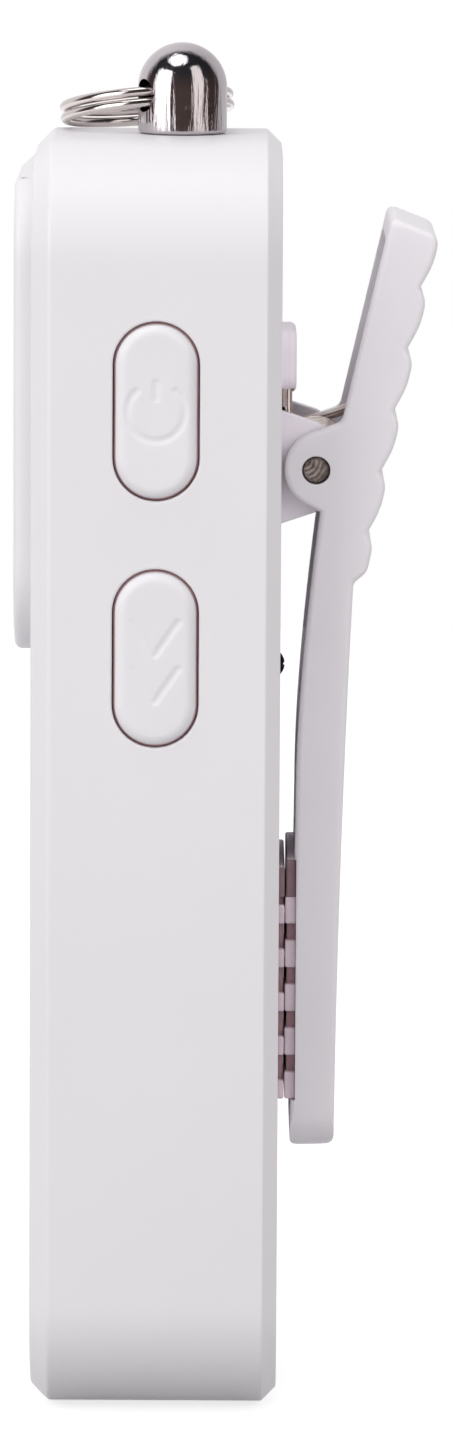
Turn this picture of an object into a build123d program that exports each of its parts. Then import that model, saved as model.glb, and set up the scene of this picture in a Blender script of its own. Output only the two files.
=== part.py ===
from build123d import *
from math import acos, atan2, cos, degrees, hypot, pi, radians, sin, sqrt, tan
import os

# A personal safety alarm in millimetres: a slim upright case with its front towards -Y, a spring
# clip on its back, two buttons on its +X side and a pull pin with a split ring on its top.
# The origin is the middle of the foot, and +Z is up.

os.makedirs("parts", exist_ok=True)

# Case
body_width = 32.0
body_depth = 19.4
body_height = 100.0
corner_radius = 9.2
wall = 1.6
front_chamfer = 1.4
back_chamfer = 1.15
rim_land = 0.1
cover_thickness = 1.8
lip_reach = 0.95
lip_thickness = 1.0
fit_gap = 0.1
press_gap = 0.02
column_radius = 2.2
column_inset = 3.8
column_rise = 7.0

# Front panel, light window and siren
panel_side_margin = 2.0
panel_height = 38.0
panel_below_top = 2.0
panel_proud = 1.37
panel_corner = 7.3
panel_round = 0.6
peg_radius = 0.8
peg_inset = 3.5
window_side_margin = 7.0
window_height = 9.5
window_corner = 2.5
window_below_panel_top = 2.5
window_flange = 1.0
flange_thickness = 0.8
siren_below_panel_top = 26.5
grille_radius = 9.4
slot_count = 7
slot_height = 1.2
slot_pitch = 2.4
slot_end_margin = 0.5
screen_thickness = 0.2
screen_overlap = 1.2
holder_radius = 12.5
holder_depth = 5.4
holder_wall = 0.8
holder_floor = 1.0
chamber_ledge = 1.2
siren_seat_depth = 1.9
plate_thickness = 0.3
ceramic_radius = 7.5
ceramic_thickness = 0.25
contact_pin_radius = 0.3
light_board_gap = 0.8
light_board_thickness = 0.8

# Buttons and their switches
button_y = 0.0
power_below_top = 20.5
mode_below_top = 39.7
hole_width = 6.74
hole_height = 13.94
button_gap = 0.22
button_proud = 0.42
button_round = 0.85
press_travel = 0.5
retainer_reach = 0.55
retainer_thickness = 0.7
groove_depth = 0.22
groove_width = 0.5
pip_radius = 1.2
pip_length = 1.1
stem_radius = 0.95
stem_proud = 0.8
switch_depth = 3.0
switch_height = 6.0
switch_rise = 3.45

# Boards, battery and charging socket
board_front_y = 1.7
board_thickness = 1.0
board_side_gap = 0.3
board_above_columns = 0.7
board_below_socket = 2.2
post_radius = 1.8
post_inset = 1.4
post_above_board_end = 4.5
post_below_battery_top = 4.0
battery_side_gap = 0.2
battery_siren_gap = 4.0
battery_above_board_end = 0.5
battery_thickness = 8.4
battery_corner = 2.4
battery_round = 1.0
pad_thickness = 0.7
pad_side_margin = 2.8
pad_end_margin = 3.0
lead_radius = 0.5
lead_bend_radius = 1.5
thin_lead_radius = 0.35
thin_lead_bend_radius = 1.4
port_width = 8.94
port_thickness = 3.2
port_depth = 7.3
port_recess = 0.5
port_skin = 0.3
port_gap = 0.25
tongue_width = 6.7
tongue_thickness = 0.7

# Pull pin and split ring
pin_y = 1.84
cap_radius = 3.5
cap_straight = 3.6
cap_gap = 0.05
cap_edge = 0.3
cross_hole_radius = 1.3
cross_hole_rise = 3.05
plug_radius = 1.7
plug_clearance = 0.05
plug_into_cap = 1.55
plug_length = 8.4
tip_radius = 1.05
tip_length = 2.4
tip_edge = 0.3
socket_radius = 3.5
socket_depth = 12.7
contact_gap = 0.07
contact_thickness = 0.3
contact_width = 1.6
ring_wire = 0.8
ring_radius = 6.52
ring_turn_gap = 0.08
ring_below_hole = 0.08
ring_heading = 61.5
ring_droop = 10.8

# Clip
hinge_below_top = 25.8
hinge_standoff = 2.76
clip_width = 16.0
lever_ear = 1.65
ear_side_gap = 0.15
bracket_ear = 1.2
pin_radius = 1.02
lever_hole_radius = 1.115
pin_recess = 0.4
ear_radius = 2.45
skin_thickness = 1.35
grip_offset = 5.7
grip_slope = 0.208
grip_depth = 0.65
notch_count = 5
notch_pitch = 4.9
notch_first = 14.7
notch_above = 0.75
notch_below = 1.15
handle_reach = 20.3
arm_reach = 54.0
lever_edge = 0.3
lever_top_corner = 0.9
lever_foot_corner = 3.2
base_margin = 0.2
base_thickness = 0.9
base_corner = 2.0
base_below_screw = 3.4
base_above_retainer = 1.75
retainer_height = 1.2
retainer_margin = 0.6
retainer_length = 4.9
retainer_above_hinge = 8.2
retainer_corner = 1.5
retainer_round = 0.5
hook_width = 6.0
hook_thickness = 0.8
hook_reach = 3.3
hook_drop = 1.8
bracket_round = 1.4
spring_wire = 0.82
spring_radius = 2.85
spring_end_gap = 0.26
spring_whole_turns = 7
spring_lean = 13.0
spring_bend = 0.9
spring_leg = 5.0
spring_leg_tuck = 2.4
spring_leg_gap = 0.06
spring_skin_gap = 0.15

# Jaw pads
jaw_above_arm_end = 4.0
jaw_length = 19.2
jaw_width = 15.0
case_pad_thickness = 0.5
case_pad_drop = 0.6
jaw_gap = 0.12
arm_pad_back = 1.4
tooth_count = 5
tooth_pitch = 3.55
tooth_below_pad_top = 3.7
tooth_land = 1.4
tooth_foot = 2.0
tooth_depth = 0.32

# Screws
cover_screw_head = 1.7
cover_screw_shank = 0.9
cover_screw_length = 8.0
board_screw_head = 1.4
board_screw_shank = 0.8
board_screw_length = 5.0
clip_screw_head = 0.95
clip_screw_dome = 0.45
clip_screw_shank = 0.6
clip_screw_length = 3.4
clip_screw_below_hinge = 16.2
thread_gap = 0.05

# Places worked out from the sizes above
cut_over = 0.5
half_width = body_width / 2
front_y = -body_depth / 2
back_y = body_depth / 2
mid_z = body_height / 2
parting_y = back_y - back_chamfer - rim_land
inner_front_y = front_y + wall
inner_back_y = back_y - cover_thickness
inner_half = half_width - wall
inner_radius = corner_radius - wall
cavity_width = body_width - 2 * wall
cavity_height = body_height - 2 * wall
column_x = inner_half - column_inset
column_low = wall + column_rise
column_places = [(side * column_x, z) for side in (-1, 1) for z in (column_low, body_height - column_low)]

panel_width = body_width - 2 * panel_side_margin
panel_top = body_height - panel_below_top
panel_mid = panel_top - panel_height / 2
panel_front_y = front_y - panel_proud
window_width = panel_width - 2 * window_side_margin
window_z = panel_top - window_below_panel_top - window_height / 2
siren_z = panel_top - siren_below_panel_top
siren_seat_y = inner_front_y + siren_seat_depth
holder_back_y = inner_front_y + holder_depth
seat_radius = holder_radius - holder_wall
chamber_radius = seat_radius - chamber_ledge
flange_back_y = inner_front_y + flange_thickness
light_board_y = flange_back_y + light_board_gap

power_z = body_height - power_below_top
mode_z = body_height - mode_below_top
retainer_outer = inner_half - fit_gap
retainer_inner = retainer_outer - retainer_thickness
stem_tip = retainer_inner - pip_length
switch_face = stem_tip - stem_proud

board_back_y = board_front_y + board_thickness
board_half = retainer_inner - press_travel - board_side_gap
board_low = column_low + column_radius + board_above_columns
socket_top = body_height - wall
socket_bottom = socket_top - socket_depth
board_high = socket_bottom - board_below_socket
battery_front_y = inner_front_y + pad_thickness
battery_low = board_low + battery_above_board_end
battery_high = siren_z - holder_radius - battery_siren_gap
battery_height = battery_high - battery_low
post_x = board_half - post_inset
post_heights = (board_low + post_above_board_end, battery_high - post_below_battery_top)
post_places = [(side * post_x, z) for side in (-1, 1) for z in post_heights]
battery_width = 2 * (post_x - post_radius - battery_side_gap)
port_y = board_back_y + port_thickness / 2

cap_base = body_height + cap_gap
cap_shoulder = cap_base + cap_straight
cross_hole_z = body_height + cross_hole_rise
plug_bottom = cap_base - plug_length
plug_hole_radius = plug_radius + plug_clearance

hinge_y = back_y + hinge_standoff
hinge_z = body_height - hinge_below_top
clip_half = clip_width / 2
channel_half = clip_half - lever_ear
bracket_outer = channel_half - ear_side_gap
bracket_inner = bracket_outer - bracket_ear
base_width = 2 * (bracket_outer + base_margin)
retainer_z = hinge_z + retainer_above_hinge
base_low = hinge_z - clip_screw_below_hinge - base_below_screw
base_high = retainer_z + retainer_length / 2 + base_above_retainer
base_mid = (base_low + base_high) / 2
base_height = base_high - base_low
coil_turns = spring_whole_turns - 2 * spring_lean / 360
spring_leg_x = bracket_inner - spring_wire / 2 - spring_end_gap
spring_pitch = 2 * spring_leg_x / coil_turns
spring_leg_y = back_y + spring_wire / 2 + spring_leg_gap
leg_room = spring_wire / 2 + spring_leg_gap
retainer_width = 2 * (spring_leg_x + leg_room + retainer_margin)
coil_reach = spring_radius + spring_wire / 2
coil_bay_clearance = 0.5
coil_bay_rise = sqrt(max(coil_reach**2 - hinge_standoff**2, 0)) + coil_bay_clearance
pad_low = hinge_z - arm_reach + jaw_above_arm_end
pad_high = pad_low + jaw_length


def at_depth(y):
    """The plane square to Y at this depth, whose extrusions grow towards the front."""
    return Plane.XZ.offset(-y)


def facing_back(x, y, z):
    """A plane at this point that looks out of the back of the case."""
    return Plane(origin=(x, y, z), x_dir=(1, 0, 0), z_dir=(0, 1, 0))


def grip_line(rise, inset=0.0):
    """A point on the handle's outer line, this far above the hinge and this far inside the line."""
    return (hinge_y + grip_offset + grip_slope * rise - inset, hinge_z + rise)


# Main housing: a tub, open to the back, with screw columns, board posts and its openings.
with BuildPart() as main_housing:
    with BuildSketch(at_depth(parting_y)):
        with Locations((0, mid_z)):
            RectangleRounded(body_width, body_height, corner_radius)
    extrude(amount=parting_y - front_y)
    chamfer(main_housing.faces().sort_by(Axis.Y)[0].edges(), front_chamfer)
    with BuildSketch(at_depth(parting_y)):
        with Locations((0, mid_z)):
            RectangleRounded(cavity_width, cavity_height, inner_radius)
    extrude(amount=parting_y - inner_front_y, mode=Mode.SUBTRACT)
    with BuildSketch(at_depth(inner_back_y)):
        with Locations(*column_places):
            Circle(column_radius)
    extrude(amount=inner_back_y - inner_front_y)
    with BuildSketch(at_depth(inner_back_y)):
        with Locations(*column_places):
            Circle(cover_screw_shank + thread_gap)
    extrude(amount=cover_screw_length, mode=Mode.SUBTRACT)
    with BuildSketch(at_depth(board_front_y)):
        with Locations(*post_places):
            Circle(post_radius)
    extrude(amount=board_front_y - inner_front_y)
    with BuildSketch(at_depth(board_front_y)):
        with Locations(*post_places):
            Circle(board_screw_shank + thread_gap)
    extrude(amount=board_screw_length, mode=Mode.SUBTRACT)
    with BuildSketch(at_depth(inner_front_y + cut_over)):
        with Locations((0, siren_z)):
            Circle(grille_radius)
        with Locations((0, window_z)):
            RectangleRounded(window_width + 2 * fit_gap, window_height + 2 * fit_gap, window_corner)
        with Locations((0, panel_mid)):
            with GridLocations(panel_width - 2 * peg_inset, panel_height - 2 * peg_inset, 2, 2):
                Circle(peg_radius + fit_gap / 2)
    extrude(amount=wall + 2 * cut_over, mode=Mode.SUBTRACT)
    with BuildSketch(Plane.YZ.offset(inner_half - cut_over)):
        with Locations((button_y, power_z), (button_y, mode_z)):
            SlotOverall(hole_height, hole_width, rotation=90)
    extrude(amount=wall + 2 * cut_over, mode=Mode.SUBTRACT)
    with BuildSketch(Plane.XY.offset(socket_top - cut_over)):
        with Locations((0, pin_y)):
            Circle(plug_hole_radius)
    extrude(amount=wall + 2 * cut_over, mode=Mode.SUBTRACT)
    with BuildSketch(Plane.XY.offset(-cut_over)):
        with Locations((0, port_y)):
            SlotOverall(port_width + 2 * port_gap, port_thickness + 2 * port_gap)
    extrude(amount=wall + 2 * cut_over, mode=Mode.SUBTRACT)
main_housing.part.label = "main_housing"
export_step(main_housing.part, "parts/main_housing.step")


# Back cover: a plate whose rim carries the back chamfer, with a lip inside the tub and a pocket
# for the clip's base.
clip_boss_radius = 1.6
clip_boss_depth = 1.4

with BuildPart() as back_cover:
    with BuildSketch(at_depth(back_y)):
        with Locations((0, mid_z)):
            RectangleRounded(body_width, body_height, corner_radius)
    extrude(amount=back_y - parting_y)
    chamfer(back_cover.faces().sort_by(Axis.Y)[-1].edges(), back_chamfer)
    with BuildSketch(at_depth(parting_y)):
        with Locations((0, mid_z)):
            RectangleRounded(cavity_width - 2 * fit_gap, cavity_height - 2 * fit_gap, inner_radius - fit_gap)
    extrude(amount=parting_y - inner_back_y)
    with BuildSketch(at_depth(inner_back_y)):
        with Locations((0, mid_z)):
            RectangleRounded(cavity_width - 2 * fit_gap, cavity_height - 2 * fit_gap, inner_radius - fit_gap)
            RectangleRounded(
                cavity_width - 2 * fit_gap - 2 * lip_thickness,
                cavity_height - 2 * fit_gap - 2 * lip_thickness,
                inner_radius - fit_gap - lip_thickness,
                mode=Mode.SUBTRACT,
            )
    extrude(amount=lip_reach)
    with BuildSketch(at_depth(back_y)):
        with Locations((0, base_mid)):
            RectangleRounded(base_width + 2 * fit_gap, base_height + 2 * fit_gap, base_corner + fit_gap)
    extrude(amount=base_thickness, mode=Mode.SUBTRACT)
    with BuildSketch(at_depth(inner_back_y)):
        with Locations((0, hinge_z - clip_screw_below_hinge)):
            Circle(clip_boss_radius)
    extrude(amount=clip_boss_depth)
    with BuildSketch(at_depth(back_y)):
        with Locations((0, base_high + fit_gap)):
            Rectangle(
                hook_width + 2 * fit_gap, hook_thickness + 2 * fit_gap, align=(Align.CENTER, Align.MAX)
            )
        with Locations((0, hinge_z - clip_screw_below_hinge)):
            Circle(clip_screw_shank + thread_gap)
    extrude(amount=cover_thickness + clip_boss_depth, mode=Mode.SUBTRACT)
    with Locations(*[facing_back(x, back_y, z) for x, z in column_places]):
        CounterSinkHole(
            cover_screw_shank + thread_gap, cover_screw_head + thread_gap, counter_sink_angle=90
        )
back_cover.part.label = "back_cover"
export_step(back_cover.part, "parts/back_cover.step")


# Front panel: a raised plate with a sloping top edge, sound slots and a frame round the window.
with BuildPart() as front_panel:
    with BuildSketch(at_depth(front_y)):
        with Locations((0, panel_mid)):
            RectangleRounded(panel_width, panel_height, panel_corner)
    extrude(amount=panel_proud)
    fillet(front_panel.faces().sort_by(Axis.Y)[0].edges(), panel_round)
    with BuildSketch(Plane.YZ.offset(-panel_width / 2)):
        with BuildLine():
            Polyline(
                (front_y, panel_top),
                (panel_front_y, panel_top - panel_proud),
                (panel_front_y - panel_proud, panel_top - panel_proud),
                (panel_front_y - panel_proud, panel_top + panel_proud),
                (front_y, panel_top + panel_proud),
                close=True,
            )
        make_face()
    extrude(amount=panel_width, mode=Mode.SUBTRACT)
    with BuildSketch(at_depth(front_y)):
        with Locations((0, siren_z)):
            Circle(grille_radius + screen_overlap + fit_gap)
    extrude(amount=screen_thickness, mode=Mode.SUBTRACT)
    with BuildSketch(at_depth(front_y)):
        for number in range(slot_count):
            rise = (number - (slot_count - 1) / 2) * slot_pitch
            length = 2 * (sqrt(grille_radius**2 - rise**2) - slot_end_margin)
            with Locations((0, siren_z + rise)):
                SlotOverall(length, slot_height)
        with Locations((0, window_z)):
            RectangleRounded(window_width + 2 * fit_gap, window_height + 2 * fit_gap, window_corner)
    extrude(amount=panel_proud + cut_over, mode=Mode.SUBTRACT)
    with BuildSketch(at_depth(inner_front_y)):
        with Locations((0, panel_mid)):
            with GridLocations(panel_width - 2 * peg_inset, panel_height - 2 * peg_inset, 2, 2):
                Circle(peg_radius)
    extrude(amount=wall)
front_panel.part.label = "front_panel"
export_step(front_panel.part, "parts/front_panel.step")


# Light window: a frosted block set in from inside, its flange against the front wall.
window_face_inset = 0.15
window_foot_radius = 0.6
window_foot_inset = 1.0

with BuildPart() as light_window:
    with BuildSketch(at_depth(inner_front_y)):
        with Locations((0, window_z)):
            RectangleRounded(window_width, window_height, window_corner - fit_gap)
    extrude(amount=wall + panel_proud - window_face_inset)
    fillet(light_window.faces().sort_by(Axis.Y)[0].edges(), window_face_inset)
    with BuildSketch(at_depth(flange_back_y)):
        with Locations((0, window_z)):
            RectangleRounded(
                window_width + 2 * window_flange, window_height + 2 * window_flange, window_corner
            )
    extrude(amount=flange_thickness)
    with BuildSketch(at_depth(light_board_y)):
        with Locations((0, window_z)):
            with GridLocations(window_width, window_height - 2 * window_foot_inset, 2, 2):
                Circle(window_foot_radius)
    extrude(amount=light_board_gap)
light_window.part.label = "light_window"
export_step(light_window.part, "parts/light_window.step")


# Dust screen: a thin disc of cloth between the sound slots and the case.
with BuildPart() as dust_screen:
    with BuildSketch(at_depth(front_y)):
        with Locations((0, siren_z)):
            Circle(grille_radius + screen_overlap)
    extrude(amount=screen_thickness)
dust_screen.part.label = "dust_screen"
export_step(dust_screen.part, "parts/dust_screen.step")


# Siren: holder with its chamber, metal plate, ceramic disc and two contact pins.
plate_contact_x = (ceramic_radius + chamber_radius) / 2

with BuildPart() as siren_holder:
    with BuildSketch(at_depth(holder_back_y)):
        with Locations((0, siren_z)):
            Circle(holder_radius)
    extrude(amount=holder_depth)
    with BuildSketch(at_depth(siren_seat_y)):
        with Locations((0, siren_z)):
            Circle(seat_radius)
    extrude(amount=siren_seat_depth, mode=Mode.SUBTRACT)
    with BuildSketch(at_depth(holder_back_y - holder_floor)):
        with Locations((0, siren_z)):
            Circle(chamber_radius)
    extrude(amount=holder_depth - holder_floor - siren_seat_depth, mode=Mode.SUBTRACT)
    with BuildSketch(at_depth(holder_back_y)):
        with Locations((0, siren_z), (plate_contact_x, siren_z)):
            Circle(contact_pin_radius + fit_gap)
    extrude(amount=holder_floor, mode=Mode.SUBTRACT)
siren_holder.part.label = "siren_holder"
export_step(siren_holder.part, "parts/siren_holder.step")

with BuildPart() as siren_plate:
    with BuildSketch(at_depth(siren_seat_y)):
        with Locations((0, siren_z)):
            Circle(seat_radius - fit_gap)
    extrude(amount=plate_thickness)
siren_plate.part.label = "siren_plate"
export_step(siren_plate.part, "parts/siren_plate.step")

with BuildPart() as siren_ceramic:
    with BuildSketch(at_depth(siren_seat_y + ceramic_thickness)):
        with Locations((0, siren_z)):
            Circle(ceramic_radius)
    extrude(amount=ceramic_thickness)
siren_ceramic.part.label = "siren_ceramic"
export_step(siren_ceramic.part, "parts/siren_ceramic.step")

with BuildPart() as siren_contacts:
    with BuildSketch(at_depth(board_front_y)):
        with Locations((0, siren_z)):
            Circle(contact_pin_radius)
    extrude(amount=board_front_y - siren_seat_y - ceramic_thickness)
    with BuildSketch(at_depth(board_front_y)):
        with Locations((plate_contact_x, siren_z)):
            Circle(contact_pin_radius)
    extrude(amount=board_front_y - siren_seat_y)
siren_contacts.part.label = "siren_contacts"
export_step(siren_contacts.part, "parts/siren_contacts.step")


# Light board on the window's four feet, its emitters, and its two leads to the main board.
light_board_side_margin = 0.8
light_board_end_margin = 0.5
light_board_width = window_width + 2 * light_board_side_margin
light_board_height = window_height + 2 * light_board_end_margin
emitter_clearance = 0.15
emitter_height = light_board_gap - emitter_clearance
emitter_pitch = 4.0
emitter_width = 2.8
emitter_depth = 2.4
light_lead_x = 5.0
light_lead_above_window_end = 1.0
light_lead_z = window_z - window_height / 2 + light_lead_above_window_end

with BuildPart() as light_board:
    with BuildSketch(at_depth(light_board_y + light_board_thickness)):
        with Locations((0, window_z)):
            Rectangle(light_board_width, light_board_height)
    extrude(amount=light_board_thickness)
light_board.part.label = "light_board"
export_step(light_board.part, "parts/light_board.step")

with BuildPart() as light_emitters:
    with BuildSketch(at_depth(light_board_y)):
        with Locations((0, window_z)):
            with GridLocations(emitter_pitch, emitter_pitch, 3, 2):
                Rectangle(emitter_width, emitter_depth)
    extrude(amount=emitter_height)
light_emitters.part.label = "light_emitters"
export_step(light_emitters.part, "parts/light_emitters.step")

light_lead_start = (light_board_y + light_board_thickness, light_lead_z)
light_lead_bend = (board_front_y + board_thickness / 2, light_lead_z)
light_lead_end = (board_front_y + board_thickness / 2, board_high)

with BuildPart() as light_leads:
    for side in (-1, 1):
        with BuildLine(Plane.YZ.offset(side * light_lead_x)) as light_lead:
            FilletPolyline(light_lead_start, light_lead_bend, light_lead_end, radius=thin_lead_bend_radius)
        with BuildSketch(Plane(origin=light_lead.line @ 0, z_dir=light_lead.line % 0)):
            Circle(thin_lead_radius)
        sweep(path=light_lead.line)
light_leads.part.label = "light_leads"
export_step(light_leads.part, "parts/light_leads.step")


# Main board, with a tab that reaches down behind the charging socket.
tab_half = 6.0
tab_above_wall = 0.6
tab_low = wall + tab_above_wall

with BuildPart() as main_board:
    with BuildSketch(at_depth(board_back_y)):
        with Locations((0, (board_low + board_high) / 2)):
            Rectangle(2 * board_half, board_high - board_low)
        with Locations((0, (tab_low + board_low) / 2)):
            Rectangle(2 * tab_half, board_low - tab_low)
        with Locations(*post_places):
            Circle(board_screw_shank + thread_gap, mode=Mode.SUBTRACT)
    extrude(amount=board_thickness)
main_board.part.label = "main_board"
export_step(main_board.part, "parts/main_board.step")

# Control chip, boost coil and the board's small parts, all on the board's back.
coil_above_board_end = 24.0
coil_z = board_low + coil_above_board_end
coil_core_radius = 1.6
coil_flange_radius = 3.4
coil_height = 4.2
coil_flange = 0.7
winding_inset = 0.4
chip_above_coil = 14.0
chip_side = 5.0
chip_thickness = 0.9
chip_edge = 0.15

with BuildPart() as control_chip:
    with BuildSketch(at_depth(board_back_y + chip_thickness)):
        with Locations((0, coil_z + chip_above_coil)):
            Rectangle(chip_side, chip_side)
    extrude(amount=chip_thickness)
    chamfer(control_chip.faces().sort_by(Axis.Y)[-1].edges(), chip_edge)
control_chip.part.label = "control_chip"
export_step(control_chip.part, "parts/control_chip.step")

with BuildPart() as boost_coil_core:
    with BuildSketch(at_depth(board_back_y + coil_height)):
        with Locations((0, coil_z)):
            Circle(coil_flange_radius)
    extrude(amount=coil_flange)
    with BuildSketch(at_depth(board_back_y + coil_height - coil_flange)):
        with Locations((0, coil_z)):
            Circle(coil_core_radius)
    extrude(amount=coil_height - 2 * coil_flange)
    with BuildSketch(at_depth(board_back_y + coil_flange)):
        with Locations((0, coil_z)):
            Circle(coil_flange_radius)
    extrude(amount=coil_flange)
boost_coil_core.part.label = "boost_coil_core"
export_step(boost_coil_core.part, "parts/boost_coil_core.step")

with BuildPart() as boost_coil_winding:
    with BuildSketch(at_depth(board_back_y + coil_height - coil_flange)):
        with Locations((0, coil_z)):
            Circle(coil_flange_radius - winding_inset)
            Circle(coil_core_radius, mode=Mode.SUBTRACT)
    extrude(amount=coil_height - 2 * coil_flange)
boost_coil_winding.part.label = "boost_coil_winding"
export_step(boost_coil_winding.part, "parts/boost_coil_winding.step")

small_part_rise = 0.8
high_parts_above_coil = 22.0
high_part_pitches = (3.4, 2.8)
high_part_sides = (1.6, 0.9)
low_parts_below_coil = 8.0
low_part_pitches = (4.2, 3.0)
low_part_sides = (2.0, 1.2)

with BuildPart() as board_parts:
    with BuildSketch(at_depth(board_back_y + small_part_rise)):
        with Locations((0, coil_z + high_parts_above_coil)):
            with GridLocations(*high_part_pitches, 5, 3):
                Rectangle(*high_part_sides)
        with Locations((0, coil_z - low_parts_below_coil)):
            with GridLocations(*low_part_pitches, 4, 2):
                Rectangle(*low_part_sides)
    extrude(amount=small_part_rise)
board_parts.part.label = "board_parts"
export_step(board_parts.part, "parts/board_parts.step")


def power_mark():
    """The strokes of the power mark: an open circle and an upright bar."""
    mark_radius = 2.17
    half_opening = 38
    bar_low = 0.8
    bar_high = 2.45
    with BuildSketch() as mark:
        with BuildLine():
            CenterArc((0, 0), mark_radius, 90 + half_opening, 360 - 2 * half_opening)
        trace(line_width=groove_width)
        with BuildLine():
            Line((0, bar_low), (0, bar_high))
        trace(line_width=groove_width)
    return mark.sketch


def mode_mark():
    """The strokes of the mode mark: two chevrons, one above the other, pointing down."""
    arm_width = 1.95
    arm_height = 2.7
    tip_heights = (0.35, -3.3)
    with BuildSketch() as mark:
        for tip in tip_heights:
            with BuildLine():
                Polyline((-arm_width, tip + arm_height), (0, tip), (arm_width, tip + arm_height))
            trace(line_width=groove_width)
    return mark.sketch


def build_button(centre_z, mark):
    """A domed button with its retaining rim, the pip behind it and its shallow mark."""
    with BuildPart() as button:
        with BuildSketch(Plane.YZ.offset(retainer_outer)):
            with Locations((button_y, centre_z)):
                SlotOverall(hole_height - 2 * button_gap, hole_width - 2 * button_gap, rotation=90)
        extrude(amount=half_width + button_proud - retainer_outer)
        fillet(button.faces().sort_by(Axis.X)[-1].edges(), button_round)
        with BuildSketch(Plane.YZ.offset(retainer_inner)):
            with Locations((button_y, centre_z)):
                SlotOverall(hole_height + 2 * retainer_reach, hole_width + 2 * retainer_reach, rotation=90)
        extrude(amount=retainer_thickness)
        with BuildSketch(Plane.YZ.offset(stem_tip)):
            with Locations((button_y, centre_z)):
                Circle(pip_radius)
        extrude(amount=pip_length)
        with BuildSketch(Plane.YZ.offset(half_width + button_proud - groove_depth)):
            with Locations((button_y, centre_z)):
                add(mark)
        extrude(amount=groove_depth + cut_over, mode=Mode.SUBTRACT)
    return button


power_button = build_button(power_z, power_mark())
power_button.part.label = "power_button"
export_step(power_button.part, "parts/power_button.step")

mode_button = build_button(mode_z, mode_mark())
mode_button.part.label = "mode_button"
export_step(mode_button.part, "parts/mode_button.step")


def build_switch(centre_z):
    """A side-acting switch on the board, with the bore that its stem slides in."""
    bore_depth = stem_proud + press_travel + fit_gap
    with BuildPart() as switch:
        with BuildSketch(Plane.YZ.offset(switch_face - switch_depth)):
            with Locations((board_front_y - switch_rise / 2, centre_z)):
                Rectangle(switch_rise, switch_height)
        extrude(amount=switch_depth)
        with BuildSketch(Plane.YZ.offset(switch_face - bore_depth)):
            with Locations((button_y, centre_z)):
                Circle(stem_radius + fit_gap / 2)
        extrude(amount=bore_depth, mode=Mode.SUBTRACT)
    return switch


def build_stem(centre_z):
    """The switch's round stem, which the button's pip pushes."""
    with BuildPart() as stem:
        with BuildSketch(Plane.YZ.offset(switch_face - stem_proud)):
            with Locations((button_y, centre_z)):
                Circle(stem_radius)
        extrude(amount=2 * stem_proud)
    return stem


for switch_name, switch_z in (("power_switch", power_z), ("mode_switch", mode_z)):
    side_switch = build_switch(switch_z)
    side_switch.part.label = switch_name
    export_step(side_switch.part, f"parts/{switch_name}.step")
    side_stem = build_stem(switch_z)
    side_stem.part.label = f"{switch_name}_stem"
    export_step(side_stem.part, f"parts/{switch_name}_stem.step")


# Battery cell on its foam pad, with two leads bent over to the board.
lead_run = 2.3
lead_y = battery_front_y + battery_thickness / 2
lead_spread = 2.2

with BuildPart() as battery_cell:
    with BuildSketch(Plane.XY.offset(battery_low)):
        with Locations((0, lead_y)):
            RectangleRounded(battery_width, battery_thickness, battery_corner)
    extrude(amount=battery_height)
    fillet(battery_cell.edges().group_by(Axis.Z)[-1], battery_round)
    fillet(battery_cell.edges().group_by(Axis.Z)[0], battery_round)
battery_cell.part.label = "battery_cell"
export_step(battery_cell.part, "parts/battery_cell.step")

with BuildPart() as battery_pad:
    with BuildSketch(at_depth(battery_front_y)):
        with Locations((0, (battery_low + battery_high) / 2)):
            Rectangle(battery_width - 2 * pad_side_margin, battery_height - 2 * pad_end_margin)
    extrude(amount=pad_thickness)
battery_pad.part.label = "battery_pad"
export_step(battery_pad.part, "parts/battery_pad.step")

with BuildPart() as battery_leads:
    for side in (-1, 1):
        with BuildLine(Plane.YZ.offset(side * lead_spread)) as battery_lead:
            FilletPolyline(
                (lead_y, battery_high),
                (lead_y, battery_high + lead_run),
                (board_front_y, battery_high + lead_run),
                radius=lead_bend_radius,
            )
        with BuildSketch(Plane(origin=battery_lead.line @ 0, z_dir=battery_lead.line % 0)):
            Circle(lead_radius)
        sweep(path=battery_lead.line)
battery_leads.part.label = "battery_leads"
export_step(battery_leads.part, "parts/battery_leads.step")


# Charging socket in the foot: a thin metal shell and the contact tongue inside it.
port_low = port_recess
port_high = port_recess + port_depth
tongue_recess = 0.7
tongue_edge = 0.2
tongue_root = 1.6

with BuildPart() as charge_socket:
    with BuildSketch(Plane.XY.offset(port_low)):
        with Locations((0, port_y)):
            SlotOverall(port_width, port_thickness)
            SlotOverall(port_width - 2 * port_skin, port_thickness - 2 * port_skin, mode=Mode.SUBTRACT)
    extrude(amount=port_depth)
charge_socket.part.label = "charge_socket"
export_step(charge_socket.part, "parts/charge_socket.step")

with BuildPart() as charge_tongue:
    with BuildSketch(Plane.XY.offset(port_low + tongue_recess)):
        with Locations((0, port_y)):
            RectangleRounded(tongue_width, tongue_thickness, tongue_edge)
    extrude(amount=port_depth - tongue_recess)
    with BuildSketch(Plane.XY.offset(port_high - tongue_root)):
        with Locations((0, port_y)):
            SlotOverall(
                port_width - 2 * port_skin - 2 * press_gap, port_thickness - 2 * port_skin - 2 * press_gap
            )
    extrude(amount=tongue_root)
charge_tongue.part.label = "charge_tongue"
export_step(charge_tongue.part, "parts/charge_tongue.step")


# Pull pin: the domed head with its cross hole, and the plug that holds the socket's contacts apart.
ring_way = Vector(cos(radians(ring_heading)), -sin(radians(ring_heading)), 0)

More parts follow.
